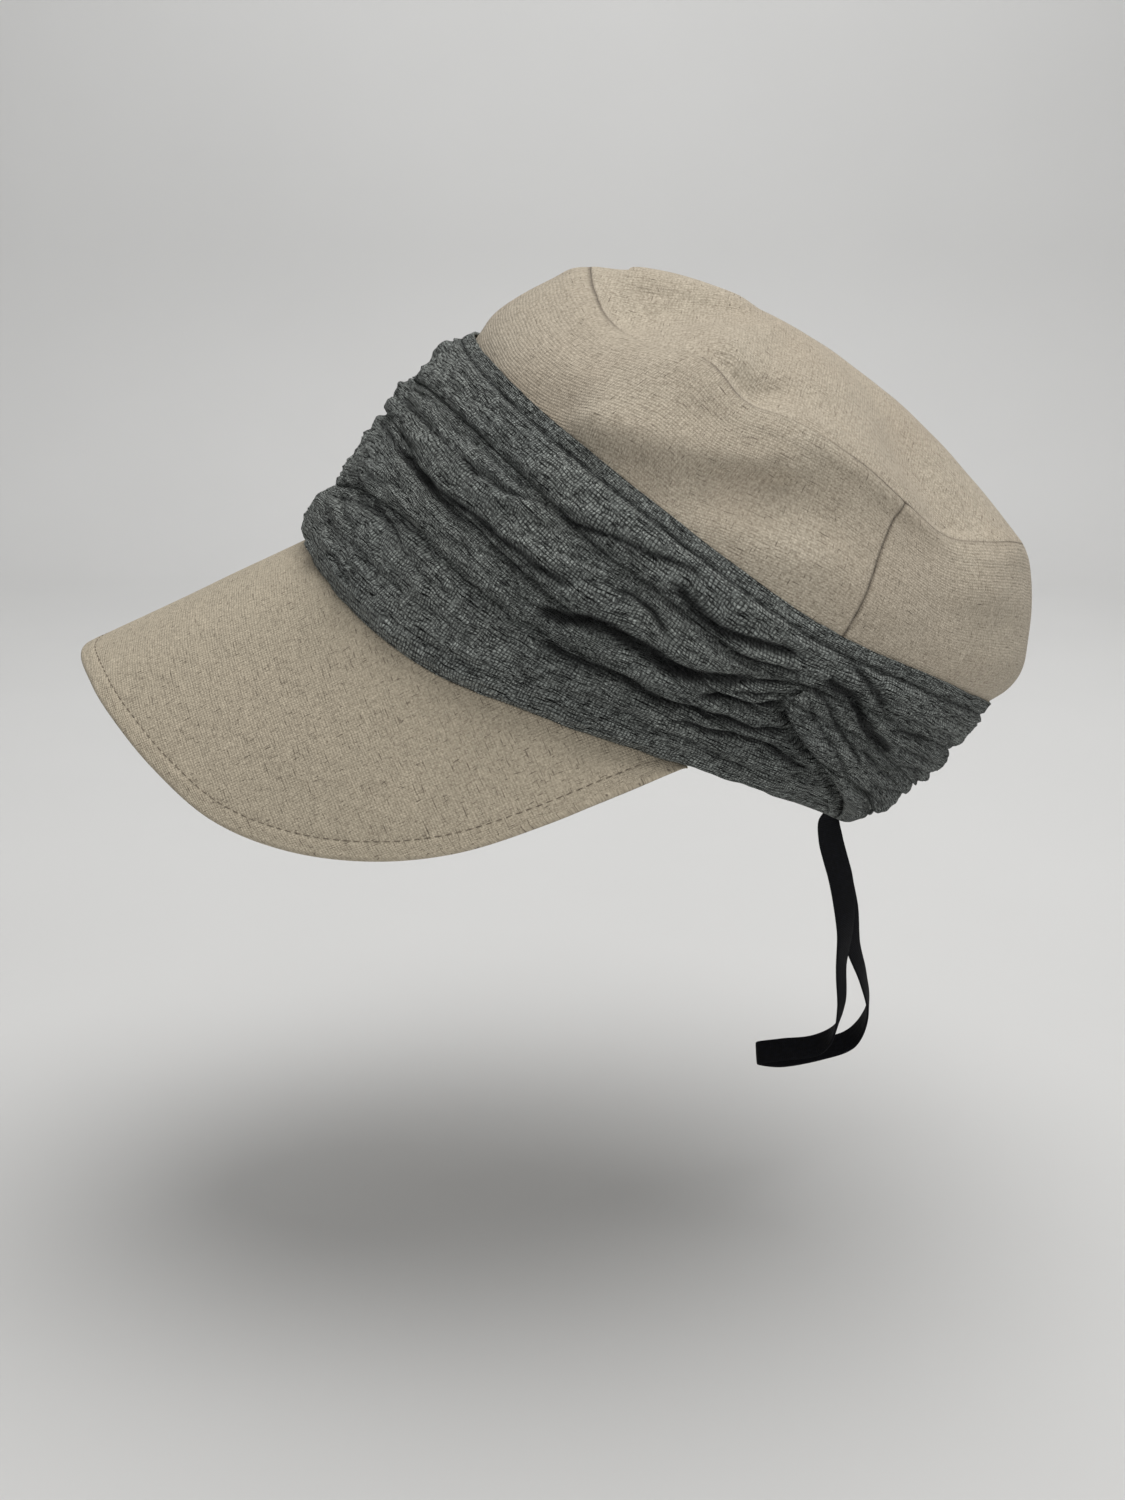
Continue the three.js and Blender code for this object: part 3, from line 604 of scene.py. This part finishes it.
def makeCrown():
    gap = math.degrees(crown["panelGap"] / 2 / crown["rimHalfWidth"])
    side = wallPanelPiece("crownSide", 330, 96, lambda up: gap - panelSeamTurn(up),
                          lambda up: panelSeamTurn(up) - gap)
    back = wallPanelPiece("crownBack", 150, 96, lambda up: panelSeamTurn(up) + gap,
                          lambda up: 360 - panelSeamTurn(up) - gap)

    def discPlace(u, v):
        across, along = 2 * crowded(u, 0.12) - 1, 2 * crowded(v, 0.12) - 1
        x, y = across * np.sqrt(1 - along**2 / 2), along * np.sqrt(1 - across**2 / 2)
        edge = 1 - crown["panelGap"] / (crown["rimHalfWidth"] * wallProfile["side"][-1])
        return np.degrees(np.arctan2(-y, -x)), np.clip(np.hypot(x, y), 0, 1) * edge

    def seamDistance(turn, out):
        reach = lengthOf(topPoint(turn, out)[:, :2] - np.array([crown["widestAtSeam"], 0]))
        return (1 - out) * reach / np.maximum(out, 0.2)

    def topShape(u, v):
        turn, out = discPlace(u, v)
        points = topPoint(turn, out)
        normals = -normalOf(topPoint, turn, np.maximum(out, 0.03))
        worked = settled(points, 5) - slumps(topSlumps, turn, out) + softFolds(topFlat(turn, out), topFolds, topFlat)
        uneven = worked * ease(1 - out, 0, 0.06)
        fall = seamFall(seamDistance(turn, out), topSeamShown(turn))
        return worn(points + normals * (uneven - fall)[:, None])

    def topCloth(u, v):
        return topPoint(*discPlace(u, v))[:, :2]

    # painted shade along the top seam
    def topPaintedShade(u, v):
        turn, out = discPlace(u, v)
        return seamShade(seamDistance(turn, out)) * topSeamShown(turn)

    top = clothPiece("crownTop", 200, 190, topShape, topCloth, linen, crown["linenThickness"], topPaintedShade)
    dress(side, "linen", "crown_side")
    dress(back, "linen", "crown_back")
    dress(top, "linen", "crown_top")
    print("crown made")


makeCrown()

# Peak: a stiff brim in two layers, turned at its edge and stitched all along
brim = {"reach": 0.1464, "halfSpan": 0.096, "fall": 0.0735, "thickness": 0.0026, "endTurn": 107,
        "thinned": 0.75, "swell": 0.00008, "uneven": 0.00022, "roundedOver": 0.003, "clothApart": 0.3,
        "stitchTurn": 104, "stitchInset": 0.0056, "stitchDepth": 0.0002, "stitchGroove": 0.0009,
        "stitchPitch": 0.003, "stitchLength": 0.0021, "threadThickness": 0.00034}
peakEdge = {
    "turn": [0, 16, 25, 35, 46, 58, 68, 77, 86, 96, 107],
    "forward": [1, 0.924, 0.848, 0.725, 0.572, 0.404, 0.261, 0.135, 0.025, -0.085, -0.197],
    "side": [0, 0.344, 0.479, 0.625, 0.757, 0.875, 0.938, 0.979, 1, 0.979, 0.896],
    "fall": [0.92, 0.902, 0.93, 0.974, 0.995, 0.906, 0.763, 0.574, 0.341, 0.11, -0.08],
}
# how much of its reach the edge keeps, so that its ends run in under the band
peakTrim = {"turn": [0, 60, 78, 86, 92, 98, 104, 108], "share": [1, 1, 1, 0.985, 0.935, 0.82, 0.5, 0.15]}
peakLook = dict(linenLook, light=(0.685, 0.602, 0.462, 1), warm=(0.64, 0.566, 0.434, 1), slubs=0.625, gap=0.2,
                uneven=0.3, run=3, tones=(0.14, 0.8))
threadLook = {"bump": 0.4, "relief": 0.0001, "roughness": 0.8, "gloss": 0.2, "sheen": 0.0}


def peakPoint(turn, out):
    fromMiddle = np.abs(turn)
    root = wallPoint(turn, np.zeros_like(turn))
    root[..., 2] -= crown["seamGap"]
    edge = np.stack([-brim["reach"] * sampled(peakEdge, "turn", "forward", fromMiddle),
                     -np.sign(turn) * brim["halfSpan"] * sampled(peakEdge, "turn", "side", fromMiddle, False),
                     -brim["fall"] * sampled(peakEdge, "turn", "fall", fromMiddle)], -1)
    kept = sampled(peakTrim, "turn", "share", fromMiddle)
    return root + (edge - root) * (kept * out)[..., None]


def peakUpwards(turn, out):
    return -normalOf(peakPoint, turn, out, 0.1)


def flatBrim(columns=240):
    # the brim laid flat, strip by strip from its middle, so that its cloth keeps its true lengths
    turns = np.linspace(0, brim["endTurn"] + 1, columns)
    root, edge = peakPoint(turns, 0), peakPoint(turns, 1)
    flatRoot, flatEdge = [np.zeros(2)], [np.array([0, -lengthOf(edge[0] - root[0])])]

    def laidOff(first, second, fromFirst, fromSecond):
        # the point at two distances from two laid points, on the side where the brim goes on
        apart = lengthOf(second - first)
        along = (fromFirst**2 - fromSecond**2 + apart**2) / (2 * apart)
        aside = math.sqrt(max(0, fromFirst**2 - along**2))
        ahead = (second - first) / apart
        return first + ahead * along + np.array([-ahead[1], ahead[0]]) * aside

    for step in range(1, columns):
        reach = lengthOf(edge[step] - root[step - 1])
        flatEdge.append(laidOff(flatRoot[-1], flatEdge[-1], reach, lengthOf(edge[step] - edge[step - 1])))
        flatRoot.append(laidOff(flatRoot[-1], flatEdge[-1], lengthOf(root[step] - root[step - 1]),
                                lengthOf(root[step] - edge[step])))
    flatRoot, flatEdge = np.array(flatRoot), np.array(flatEdge)
    mirror = np.array([-1, 1])
    return (np.concatenate([-turns[:0:-1], turns]), np.concatenate([flatRoot[:0:-1] * mirror, flatRoot]),
            np.concatenate([flatEdge[:0:-1] * mirror, flatEdge]))


def twistedThread(name, light, dark):
    material, tree = startMaterial(name)
    place = addNode(tree, "TexCoord").outputs["Object"]
    twist = noiseAt(tree, place, 0.0004, 0.0004)
    colour = mixColours(tree, ramp(tree, twist, 0.35, 0.65), dark, light)
    finishMaterial(tree, colour, twist, threadLook)
    return material


def stitchRow(name, places, normals, sizes, material):
    # a row of sewn stitches along a line of places, each lying in the cloth
    pitch, length, thickness = (sizes[size] for size in ("stitchPitch", "stitchLength", "threadThickness"))
    travelled = lengthsAlong(places)
    middles = np.arange(pitch, travelled[-1] - pitch, pitch)
    starts, ends = (spotsAlong(middles + part * length / 2, travelled, places) for part in (-1, 1))
    mesh = bmesh.new()
    for start, end, normal in zip(starts, ends, spotsAlong(middles, travelled, normals)):
        upwards = Vector(normal).normalized()
        along = Vector(end - start).normalized()
        across = upwards.cross(along).normalized()
        centre = Vector((start + end) / 2)
        for corner in bmesh.ops.create_uvsphere(mesh, u_segments=6, v_segments=5, radius=1)["verts"]:
            x, y, z = corner.co
            corner.co = (centre + along * (z * length / 2) + across * (x * thickness / 2)
                         + upwards * (y * thickness / 2))
    bmesh.ops.recalc_face_normals(mesh, faces=mesh.faces)
    return addPiece(name, mesh, material)


def nearestOn(distanceAt, along, steps, wanted):
    # at each place along, the step where the distance comes nearest to the wanted one
    return np.array([steps[int(np.argmin(np.abs(distanceAt(np.full(len(steps), spot), steps) - wanted)))]
                     for spot in along])


def makePeak():
    linenPeak = wovenCloth("linen_peak", peakLook)
    half = brim["thickness"] / 2
    flatTurns, flatRoot, flatEdge = flatBrim()

    # once round the brim: v to 0.46 the upper face, then the edge, from 0.54 the lower face back
    def section(turn, v):
        upper, lower = np.clip(v / 0.46, 0, 1), np.clip((1 - v) / 0.46, 0, 1)
        out = np.where(v < 0.5, upper, lower)
        out = 1 - (1 - out) ** 1.45  # more lines near the edge
        bend = np.clip((v - 0.46) / 0.08, 0, 1) * np.pi
        return out, np.where((v > 0.46) & (v < 0.54), bend, np.where(v < 0.5, 0.0, np.pi))

    def edgeDistance(turn, out):
        root, edge = peakPoint(turn, 0), peakPoint(turn, 1)
        beside = unit(peakPoint(turn + 0.4, 1) - peakPoint(turn - 0.4, 1))
        inwards = (root - edge) * (1 - out)[:, None]
        sideways = (inwards * beside).sum(-1, keepdims=True) * beside
        return lengthOf(inwards - sideways)

    def turnsAt(u):
        return brim["endTurn"] * (2 * u - 1)

    def shape(u, v):
        turn = turnsAt(u)
        out, bend = section(turn, v)
        points, upwards = peakPoint(turn, out), peakUpwards(turn, np.clip(out, 0.1, 1))
        beside = peakPoint(turn + 0.4, out) - peakPoint(turn - 0.4, out)
        outwards = unit(np.cross(beside, upwards))
        ahead = peakPoint(turn, 1) - peakPoint(turn, 0)
        outwards *= np.sign((outwards * ahead).sum(-1, keepdims=True))
        away = edgeDistance(turn, out)
        beyond = (away - brim["stitchInset"]) / brim["stitchGroove"]
        groove = brim["stitchDepth"] * np.exp(-beyond ** 2)
        swell = brim["swell"] * np.exp(-((away - 0.003) / 0.0016) ** 2)
        uneven = brim["uneven"] * softNoise(points / 0.02, 11) * ease(away, 0.004, 0.012)
        thin = 1 - brim["thinned"] * ease(np.abs(turn), 97, 106)
        lift = half + half * (np.cos(bend) - 1) * thin + np.cos(bend) * (swell - groove) + uneven
        rounded = half * np.sin(bend) - half * np.exp(-(away / brim["roundedOver"]) ** 2)
        return worn(points + upwards * (lift - half)[:, None] + outwards * rounded[:, None])

    def cloth(u, v):
        turn = turnsAt(u)
        out, bend = section(turn, v)
        root, edge = (np.stack([np.interp(turn, flatTurns, line[:, axis]) for axis in (0, 1)], -1)
                      for line in (flatRoot, flatEdge))
        apart = np.where(v > 0.5, brim["clothApart"], 0)
        return root + (edge - root) * (out + 0.03 * np.sin(bend))[:, None] + apart[:, None]

    def closeRim(mesh):
        bmesh.ops.holes_fill(mesh, edges=[edge for edge in mesh.edges if edge.is_boundary], sides=0)
        bmesh.ops.triangulate(mesh, faces=[face for face in mesh.faces if len(face.verts) > 4])

    peak = clothPiece("peak", 330, 150, shape, cloth, linenPeak)
    reworked(peak, closeRim)
    dress(peak, "linen_peak", "peak")

    # the row of stitches, found where the edge is the right distance away
    turns = np.linspace(-brim["stitchTurn"], brim["stitchTurn"], 700)
    line = nearestOn(edgeDistance, turns, np.linspace(0.3, 1, 400), brim["stitchInset"])
    line = np.convolve(np.pad(line, 6, mode="edge"), np.ones(13) / 13, mode="valid")
    upwards = peakUpwards(turns, line)
    places = peakPoint(turns, line) - upwards * (brim["stitchDepth"] - brim["threadThickness"] * 0.25)
    thread = twistedThread("peak_thread", (0.25, 0.21, 0.16, 1), (0.11, 0.09, 0.07, 1))
    stitches = stitchRow("peakStitches", worn(places), worn(upwards), brim, thread)
    dress(stitches, "linen_peak")
    print("peak made")


makePeak()

# Gauze band: folds lie along it and gather behind the ear, where the back wrap laps over the front
band = {"height": 0.079, "clearance": 0.0007, "thickness": 0.0011, "foldDepth": 0.0042, "base": 0.0016,
        "hem": 0.0042, "hemLift": 0.0004, "hemGroove": 0.001, "overhang": 0.3, "crinkle": 0.001,
        "lap": 5.0, "edgeRoll": 0.005, "edgeLift": 0.0034, "peakLap": 0.016, "least": 0.00115,
        "clothRadius": 0.09, "clothFold": 0.025, "underWrap": 0.0034, "wrapRoll": 0.003, "wrapEase": 0.006,
        "tuckHeight": 0.8, "tuckShare": 1.2, "stitchPitch": 0.0029, "stitchLength": 0.0017, "threadThickness": 0.0006}
bandLine = {
    "turn": [0, 17, 31, 47, 69, 88, 109, 132, 149, 180],
    "height": [1, 0.99, 0.97, 0.935, 0.885, 0.83, 0.765, 0.765, 0.745, 0.7],
}
wrapEdge = {"up": [0, 0.12, 0.21, 0.3, 0.41, 0.55, 0.66, 1], "turn": [152, 141, 133, 126, 117, 110.5, 112, 117]}
frontCreases = {
    "along": [0, 0.18, 0.36, 0.46, 0.56, 0.66, 0.75, 0.84, 0.93, 1],
    "low": [0.21, 0.34, 0.4, 0.375, 0.34, 0.33, 0.31, 0.3, 0.31, 0.345],
    "middle": [0.57, 0.59, 0.545, 0.545, 0.505, 0.46, 0.5, 0.455, 0.475, 0.58],
    "high": [0.72, 0.77, 0.79, 0.785, 0.77, 0.73, 0.72, 0.685, 0.66, 0.685],
}
frontFolds = {
    "along": [0, 0.3, 0.6, 0.85, 1],
    "first": [0.9, 0.7, 0.7, 0.6, 0.15],
    "second": [0.5, 0.9, 1, 0.9, 0.2],
    "third": [0.6, 0.8, 1.05, 1, 0.5],
    "fourth": [0.5, 0.7, 0.8, 0.85, 0.7],
}
wrapCreases = {
    "along": [0, 0.15, 0.35, 0.6, 1],
    "low": [0.345, 0.3, 0.2, 0.13, 0.12],
    "middle": [0.58, 0.56, 0.49, 0.42, 0.4],
    "high": [0.68, 0.7, 0.69, 0.67, 0.66],
}
wrapFolds = {
    "along": [0, 0.3, 1],
    "first": [1.05, 0.7, 0.35],
    "second": [1.1, 0.75, 0.5],
    "third": [0.8, 0.65, 0.45],
    "fourth": [0.7, 0.5, 0.3],
}
# Lesser creases: turns along each, hundredths of the band's height there, then depth, width and lip in millimetres
frontTucks = [
    ([64, 73, 80, 88, 92], [86, 86, 85, 85, 83], 1.4, 1.1, 0.7),
    ([78, 82, 86, 89, 92], [65, 66, 63, 57, 52], 1.6, 1.1, 0.8),
    ([86, 91, 93, 96, 100, 104, 109], [78, 71, 68, 65, 65, 66, 68], 3, 1.5, 1.3),
    ([70, 75, 78, 82, 85, 89, 93, 97, 100, 105], [46, 46, 49, 49, 47, 45, 42, 43, 45, 50], 3.2, 1.7, 1.3),
    ([73, 80, 88, 92, 95, 100, 106], [32, 30, 30, 27, 26, 28, 27], 2.3, 1.3, 1),
    ([98, 102, 106, 109, 112], [34, 38, 39, 41, 43], 2.6, 1, 1.3),
    ([103, 106, 111], [48, 50, 54], 2.2, 0.9, 1),
    ([102, 106, 111], [42, 44, 48], 2.2, 0.9, 1),
    ([98, 104, 111], [57, 57.5, 60], 2, 0.9, 1),
    ([102, 106, 109, 112, 116], [30, 29, 29, 31, 33], 2.6, 1, 1.3),
    ([83, 88, 94, 97], [18, 17, 16, 15], 0.6, 1, 0.3),
    ([98, 104, 110, 114, 118, 122, 127], [20, 20, 24, 24, 22, 20, 20], 1.9, 1, 1),
    ([120, 126, 132], [15, 16, 16], 0.9, 1, 0.4),
    ([92, 102, 109, 116], [13, 12.5, 10.5, 10], 0.8, 1, 0.5),
    ([27, 42, 52, 63, 74], [68, 68, 69, 66, 59], 1.7, 1.2, 0.9),
    ([10, 21, 30, 37], [25, 34, 41, 43], 0.9, 1, 0.7),
    ([10, 20, 26, 32, 44], [44, 45, 44, 43, 39], 1.1, 1, 0.9),
    ([8, 20, 27], [34, 37, 41], 0.7, 0.9, 0.5),
    ([6, 23, 34, 45, 56, 66], [14, 20, 22, 23, 23, 22], 0.5, 1.1, 0.3),
    ([22, 34, 45, 56, 68], [10, 10, 10, 10, 10], 0.4, 1.1, 0.2),
    ([20, 34, 43, 50], [73, 72, 73, 74], 0.9, 1, 0.5),
    ([6, 25, 36, 45, 53], [68, 68, 66, 65, 63], 0.9, 1, 0.5),
    ([60, 63, 66, 71], [61, 59, 62, 63], 0.8, 0.9, 0.5),
    ([42, 48, 55, 61, 67], [84, 84, 85, 89, 88], 0.8, 1, 0.5),
    ([12, 24, 31, 40, 48], [83, 84, 84, 85, 84], 0.8, 1, 0.5),
    ([70, 76, 83], [57, 54, 54], 0.8, 1, 0.5),
]
wrapTucks = [
    ([109, 111, 113, 116, 120, 123, 126, 128, 131, 137], [67, 68, 65, 61, 60, 55, 50, 48, 46, 42], 3.4, 1.5, 1.5),
    ([110, 112, 116, 120, 123, 126, 129], [73, 74, 73, 69, 66, 62, 57], 2.3, 1.6, 1),
    ([108, 110, 114, 119], [83, 82, 80, 79], 1.8, 1.1, 0.9),
    ([123, 128, 132], [69, 66, 65], 1, 1, 0.4),
    ([127, 134, 138, 143, 149], [84, 81, 81, 80, 84], 0.9, 1, 0.4),
    ([130, 134, 138, 144], [52, 54, 54, 56], 1.3, 1.1, 0.7),
    ([133, 137, 142, 147], [58, 65, 68, 75], 0.7, 0.9, 0.4),
    ([126, 132, 138, 146], [42, 37, 34, 33], 1, 1, 0.5),
    ([119, 124, 129], [70, 80, 84], 0.5, 1, 0.3),
    ([138, 146, 158], [24, 20, 20], 0.8, 1, 0.4),
    ([148, 160, 174], [62, 60, 60], 0.8, 1.2, 0.5),
    ([146, 158, 172], [44, 38, 38], 0.9, 1.2, 0.5),
    ([150, 162, 176], [78, 77, 78], 0.6, 1, 0.4),
    ([112, 116, 121, 127, 133], [58.5, 53, 45, 38, 31], 1.1, 0.8, 0.7),
    ([112, 115, 120, 126, 131], [53, 46, 39, 32, 26], 0.9, 0.7, 0.6),
    ([130, 138, 146, 156], [60, 61, 63, 66], 0.9, 0.8, 0.6),
    ([134, 142, 150, 160], [48, 47, 48, 50], 1, 0.8, 0.7),
    ([140, 148, 158, 170], [40, 41, 44, 46], 0.8, 0.8, 0.5),
    ([136, 144, 154, 166], [28, 27, 29, 28], 0.8, 0.8, 0.5),
    ([142, 152, 164, 176], [16, 13, 14, 13], 0.7, 0.9, 0.4),
    ([132, 140, 150, 160], [74, 73, 71, 72], 0.8, 0.8, 0.6),
]


def bandUp(turn, share):
    rim = rimHeightAt(turn)
    tall = seamHeightAt(turn) - rim
    top = (band["height"] * roundHead(bandLine, turn) - rim) / tall
    lift = crown["seamGap"] / tall
    return lift + share * (top - lift)


def foldPlace(creases, along, fold, within):
    # share of the band's height, with the lower edge of each fold hanging a little over its crease
    lines = np.stack([np.zeros_like(along)] + [sampled(creases, "along", name, along, False)
                                               for name in ("low", "middle", "high")] + [np.ones_like(along)])
    pick = np.arange(len(along))
    below, above = lines[fold, pick], lines[fold + 1, pick]
    hang = np.where(fold > 0, band["overhang"], 0.0)
    eased = within - hang * np.sin(2 * np.pi * within) * (1 - within) * 0.6
    return below + (above - below) * eased


def foldRise(folds, along, fold, within):
    fullness = np.stack([sampled(folds, "along", name, along) for name in ("first", "second", "third", "fourth")])
    full = fullness[fold, np.arange(len(along))]
    crest = np.sin(np.pi * np.clip(within, 0, 1) ** np.where(fold == 0, 1.1, 0.8)) ** np.where(fold == 1, 0.45, 0.6)
    lowEdge = np.where((fold == 0) & (within < 0.35), np.sqrt(within / 0.35) * (1 - crest) * 0.8, 0)
    sharp = np.where((fold == 3) & (within > 0.5), 0.25 * (1 - crest), 0)
    return band["foldDepth"] * full * np.maximum(0, crest + lowEdge + sharp)


def tuckRelief(tucks, turn, share, tall):
    # grooves along short lines, with the cloth above each standing over the cloth below
    relief = np.zeros_like(turn)
    x, y = np.radians(fromFront(turn)) * crown["meanRadius"], share * tall
    for turns, heights, depth, width, lip in tucks:
        xs = np.radians(turns) * crown["meanRadius"]
        ys = np.array(heights) / 100 * band["height"] * band["tuckHeight"]
        where = np.interp(x, xs, ys)
        slope = np.interp(x, (xs[1:] + xs[:-1]) / 2, np.diff(ys) / np.diff(xs))
        aside = 1000 * (y - where) / np.sqrt(1 + slope**2)
        ends = ease(x, xs[0] - 0.001, xs[0] + 0.005) * ease(-x, -xs[-1] - 0.001, 0.006 - xs[-1])
        groove = -depth * np.exp(-(aside / width) ** 2)
        above = lip * np.exp(-np.maximum(aside, 0) / (3.2 * width)) * ease(aside, -0.2 * width, 0.9 * width)
        relief += ends * (groove + above)
    return band["tuckShare"] * relief / 1000


def crinkles(turn, share, tall):
    # fine uneven ridges that run along the cloth
    along, up = np.radians(turn) * crown["meanRadius"], share * tall
    waver = 0.0016 * softNoise(np.stack([along / 0.022, up / 0.02], -1), 20)
    wide = softNoise(np.stack([along / 0.013, (up + waver) / 0.0031], -1), 21)
    fine = softNoise(np.stack([along / 0.006, (up + waver) / 0.0018], -1), 22)
    puckers = softNoise(np.stack([along / 0.0034, up / 0.005], -1), 23)
    calmer = 1.1 - 0.4 * ease(fromFront(turn), 122, 150)
    return band["crinkle"] * calmer * (1.9 * np.abs(wide) - 0.55 + 0.9 * np.abs(fine) - 0.25 + 0.3 * puckers)


def pleatedPiece(name, columns, rows, creases, folds, tuckLines, turnAt, alongOf, extra):
    def place(u, v):
        fold = np.minimum(3, np.floor(v * 4)).astype(int)
        within = v * 4 - fold
        along = alongOf(u)
        share = foldPlace(creases, along, fold, within)
        turn = turnAt(u, share)
        low = band["peakLap"] * (1 - ease(share, 0, 0.08)) * (1 - ease(fromFront(turn), 100, 112))
        return turn, np.clip(share, 0, 1) - low, along, fold, within

    def liftAt(turn, share, along, fold, within):
        tall = band["height"] * roundHead(bandLine, turn) - rimHeightAt(turn)
        fromTop = (1 - share) * tall
        tucks = tuckRelief(tuckLines, turn, share, tall) * ease(fromTop, 0.003, 0.008)
        rise = foldRise(folds, along, fold, within) * (1 - ease(share, 0.86, 1) * 0.8) + tucks
        rise += crinkles(turn, share, tall) * (0.3 + 0.7 * ease(fromTop, 0.003, 0.006))
        rise += band["hemLift"] * (1 - ease(fromTop, 0.0036, 0.0046))
        rise -= band["hemGroove"] * np.exp(-((fromTop - band["hem"]) / 0.0007) ** 2)
        rise += extra(turn, share, tall)
        rise -= 0.0016 * (1 - ease(fromTop, 0, 0.007))
        rise *= 1 - 0.8 * ease(fromFront(turn), 116, 134) * (1 - ease(share * tall, 0, 0.011))
        rise -= 0.0012 * np.exp(-(np.maximum(share * tall, 0) / 0.0009) ** 1.5)
        return np.maximum(band["clearance"] + band["base"] + rise, band["least"]), tucks, fromTop

    def shape(u, v):
        turn, share, along, fold, within = place(u, v)
        up = bandUp(turn, share)
        lift, tucks, fromTop = liftAt(turn, share, along, fold, within)
        # its top edge lies down into the crown's hollows
        nearTop = 1 - ease(fromTop, 0.002, 0.013)
        lift += np.minimum(0, wallRelief(turn, up)) * ease(up, 0.5, 0.72) * nearTop
        return worn(wallPoint(turn, up) + normalOf(wallPoint, turn, up) * lift[:, None])

    def cloth(u, v):
        turn, share, along, fold, within = place(u, v)
        return np.stack([np.radians(turn) * band["clothRadius"], (fold + within) * band["clothFold"]], -1)

    # painted shade in the tucks' grooves and in the hem's groove
    def paintedShade(u, v):
        lift, tucks, fromTop = liftAt(*place(u, v))
        groove = 0.75 * np.exp(-((fromTop - band["hem"]) / 0.0006) ** 2)
        return np.clip(-tucks / 0.0016 + groove, 0, 1)

    piece = clothPiece(name, columns, rows, shape, cloth, gauze, band["thickness"], paintedShade)

    # the hem's stitches, found where the top edge is the right distance away
    across = np.linspace(0.004, 0.996, 420)
    chosen = nearestOn(lambda u, v: liftAt(*place(u, v))[2], across, np.linspace(0.86, 1, 120), band["hem"])
    turn, share = place(across, chosen)[:2]
    normals = normalOf(wallPoint, turn, bandUp(turn, share))
    stitches = stitchRow(name + "Stitches", shape(across, chosen), worn(normals), band, gauzeThread)
    dress(stitches, "gauze")
    return piece, stitches


def wrapEdgeTurn(share):
    return sampled(wrapEdge, "up", "turn", share, False)


gauzeThread = twistedThread("gauze_thread", (0.045, 0.05, 0.048, 1), (0.014, 0.016, 0.0155, 1))


def makeBand():
    # below the gather the front runs on under the wrap's folded edge
    def frontTurn(u, share):
        lap = band["lap"] * ease(-share, -0.66, -0.55)
        return (wrapEdgeTurn(share) + 0.15 + lap) * (2 * u - 1)

    def frontExtra(turn, share, tall):
        under = ease(fromFront(turn) - wrapEdgeTurn(share), -4.5, 0.5) * ease(-share, -0.66, -0.5)
        return -band["underWrap"] * under

    def wrapTurn(u, share):
        start = wrapEdgeTurn(share)
        return start + (360 - 2 * start) * u

    def wrapExtra(turn, share, tall):
        away = np.radians(fromFront(turn) - wrapEdgeTurn(share)) * crown["meanRadius"]
        below = ease(-share, -0.7, -0.6)
        inside = np.clip(away / band["edgeRoll"], 0, 1)
        roll = np.sqrt(1 - (1 - inside) ** 2) - 1
        lifted = band["edgeLift"] * np.exp(-np.maximum(away - band["edgeRoll"], 0) / band["wrapEase"])
        return below * (lifted * ease(share, 0.02, 0.2) + band["wrapRoll"] * roll)

    front, frontStitches = pleatedPiece("bandFront", 420, 104, frontCreases, frontFolds, frontTucks, frontTurn,
                                        lambda u: np.abs(2 * u - 1), frontExtra)
    back, backStitches = pleatedPiece("bandBack", 250, 112, wrapCreases, wrapFolds, wrapTucks, wrapTurn,
                                      lambda u: 1 - np.abs(2 * u - 1), wrapExtra)
    dress(front, "gauze", "band_front")
    dress(back, "gauze", "band_back")
    print("band made")


makeBand()

# Studio: one pale sweep, a broad soft light above and weaker ones beside
studio = {"floor": -0.19, "front": -7, "wall": 1.35, "width": 14, "radius": 0.3, "skyStrength": 0.42,
          "pale": (0.62, 0.62, 0.615, 1)}


def makeStudio():
    material, tree = startMaterial("sweep")
    place = addNode(tree, "TexCoord").outputs["Object"]
    tone = ramp(tree, noiseAt(tree, place, 0.3, 0.3, 3.0), 0.2, 0.8)
    paler = tuple(part * 1.06 for part in studio["pale"][:3]) + (1,)
    shader = addNode(tree, "BsdfPrincipled", {"Base Color": mixColours(tree, tone, studio["pale"], paler),
                                              "Roughness": 0.85})
    addNode(tree, "OutputMaterial", {"Surface": shader.outputs[0]})
    mesh = bmesh.new()
    bmesh.ops.create_grid(mesh, x_segments=8, y_segments=60, size=0.5)
    for corner in mesh.verts:
        across, along = corner.co.x, corner.co.y + 0.5
        bend = min(1, max(0, (along - 0.5) / 0.3))
        y = studio["front"] + (studio["wall"] - studio["radius"] - studio["front"]) * min(1, along / 0.5)
        y += studio["radius"] * math.sin(bend * math.pi / 2)
        z = studio["floor"] + studio["radius"] * (1 - math.cos(bend * math.pi / 2)) + max(0, along - 0.8) / 0.2 * 1.8
        corner.co = (across * studio["width"], y, z)
    addPiece("sweep", mesh, material)


def addLight(name, place, aim, size, power, colour):
    lamp = bpy.data.lights.new(name, "AREA")
    lamp.shape, lamp.size, lamp.energy, lamp.color = "DISK", size, power, colour
    light = bpy.data.objects.new(name, lamp)
    light.location = place
    light.rotation_euler = (Vector(aim) - Vector(place)).to_track_quat("-Z", "Y").to_euler()
    bpy.context.scene.collection.objects.link(light)


makeStudio()
addLight("backdrop", (0, 0.55, 0.95), (0, 1.35, 0.35), 0.8, 3.3, (1, 1, 1))
addLight("overhead", (0.2, 0, 1.2), (0, 0, 0.02), 1.2, 13.0, (1, 0.99, 0.975))
addLight("fill", (0.3, -1.3, 0.22), (-0.04, 0, -0.02), 1.0, 3.0, (1, 0.995, 0.985))
addLight("window", (1.0, -0.7, 0.6), (0, 0, 0), 0.8, 0.3, (0.98, 0.99, 1))

sky = bpy.data.worlds.new("sky")
bpy.context.scene.world = sky
sky.use_nodes = True
background = sky.node_tree.nodes["Background"]
background.inputs["Color"].default_value = (1, 1, 1, 1)
background.inputs["Strength"].default_value = studio["skyStrength"]
bpy.context.scene.view_settings.view_transform = "Standard"
print("studio ready")
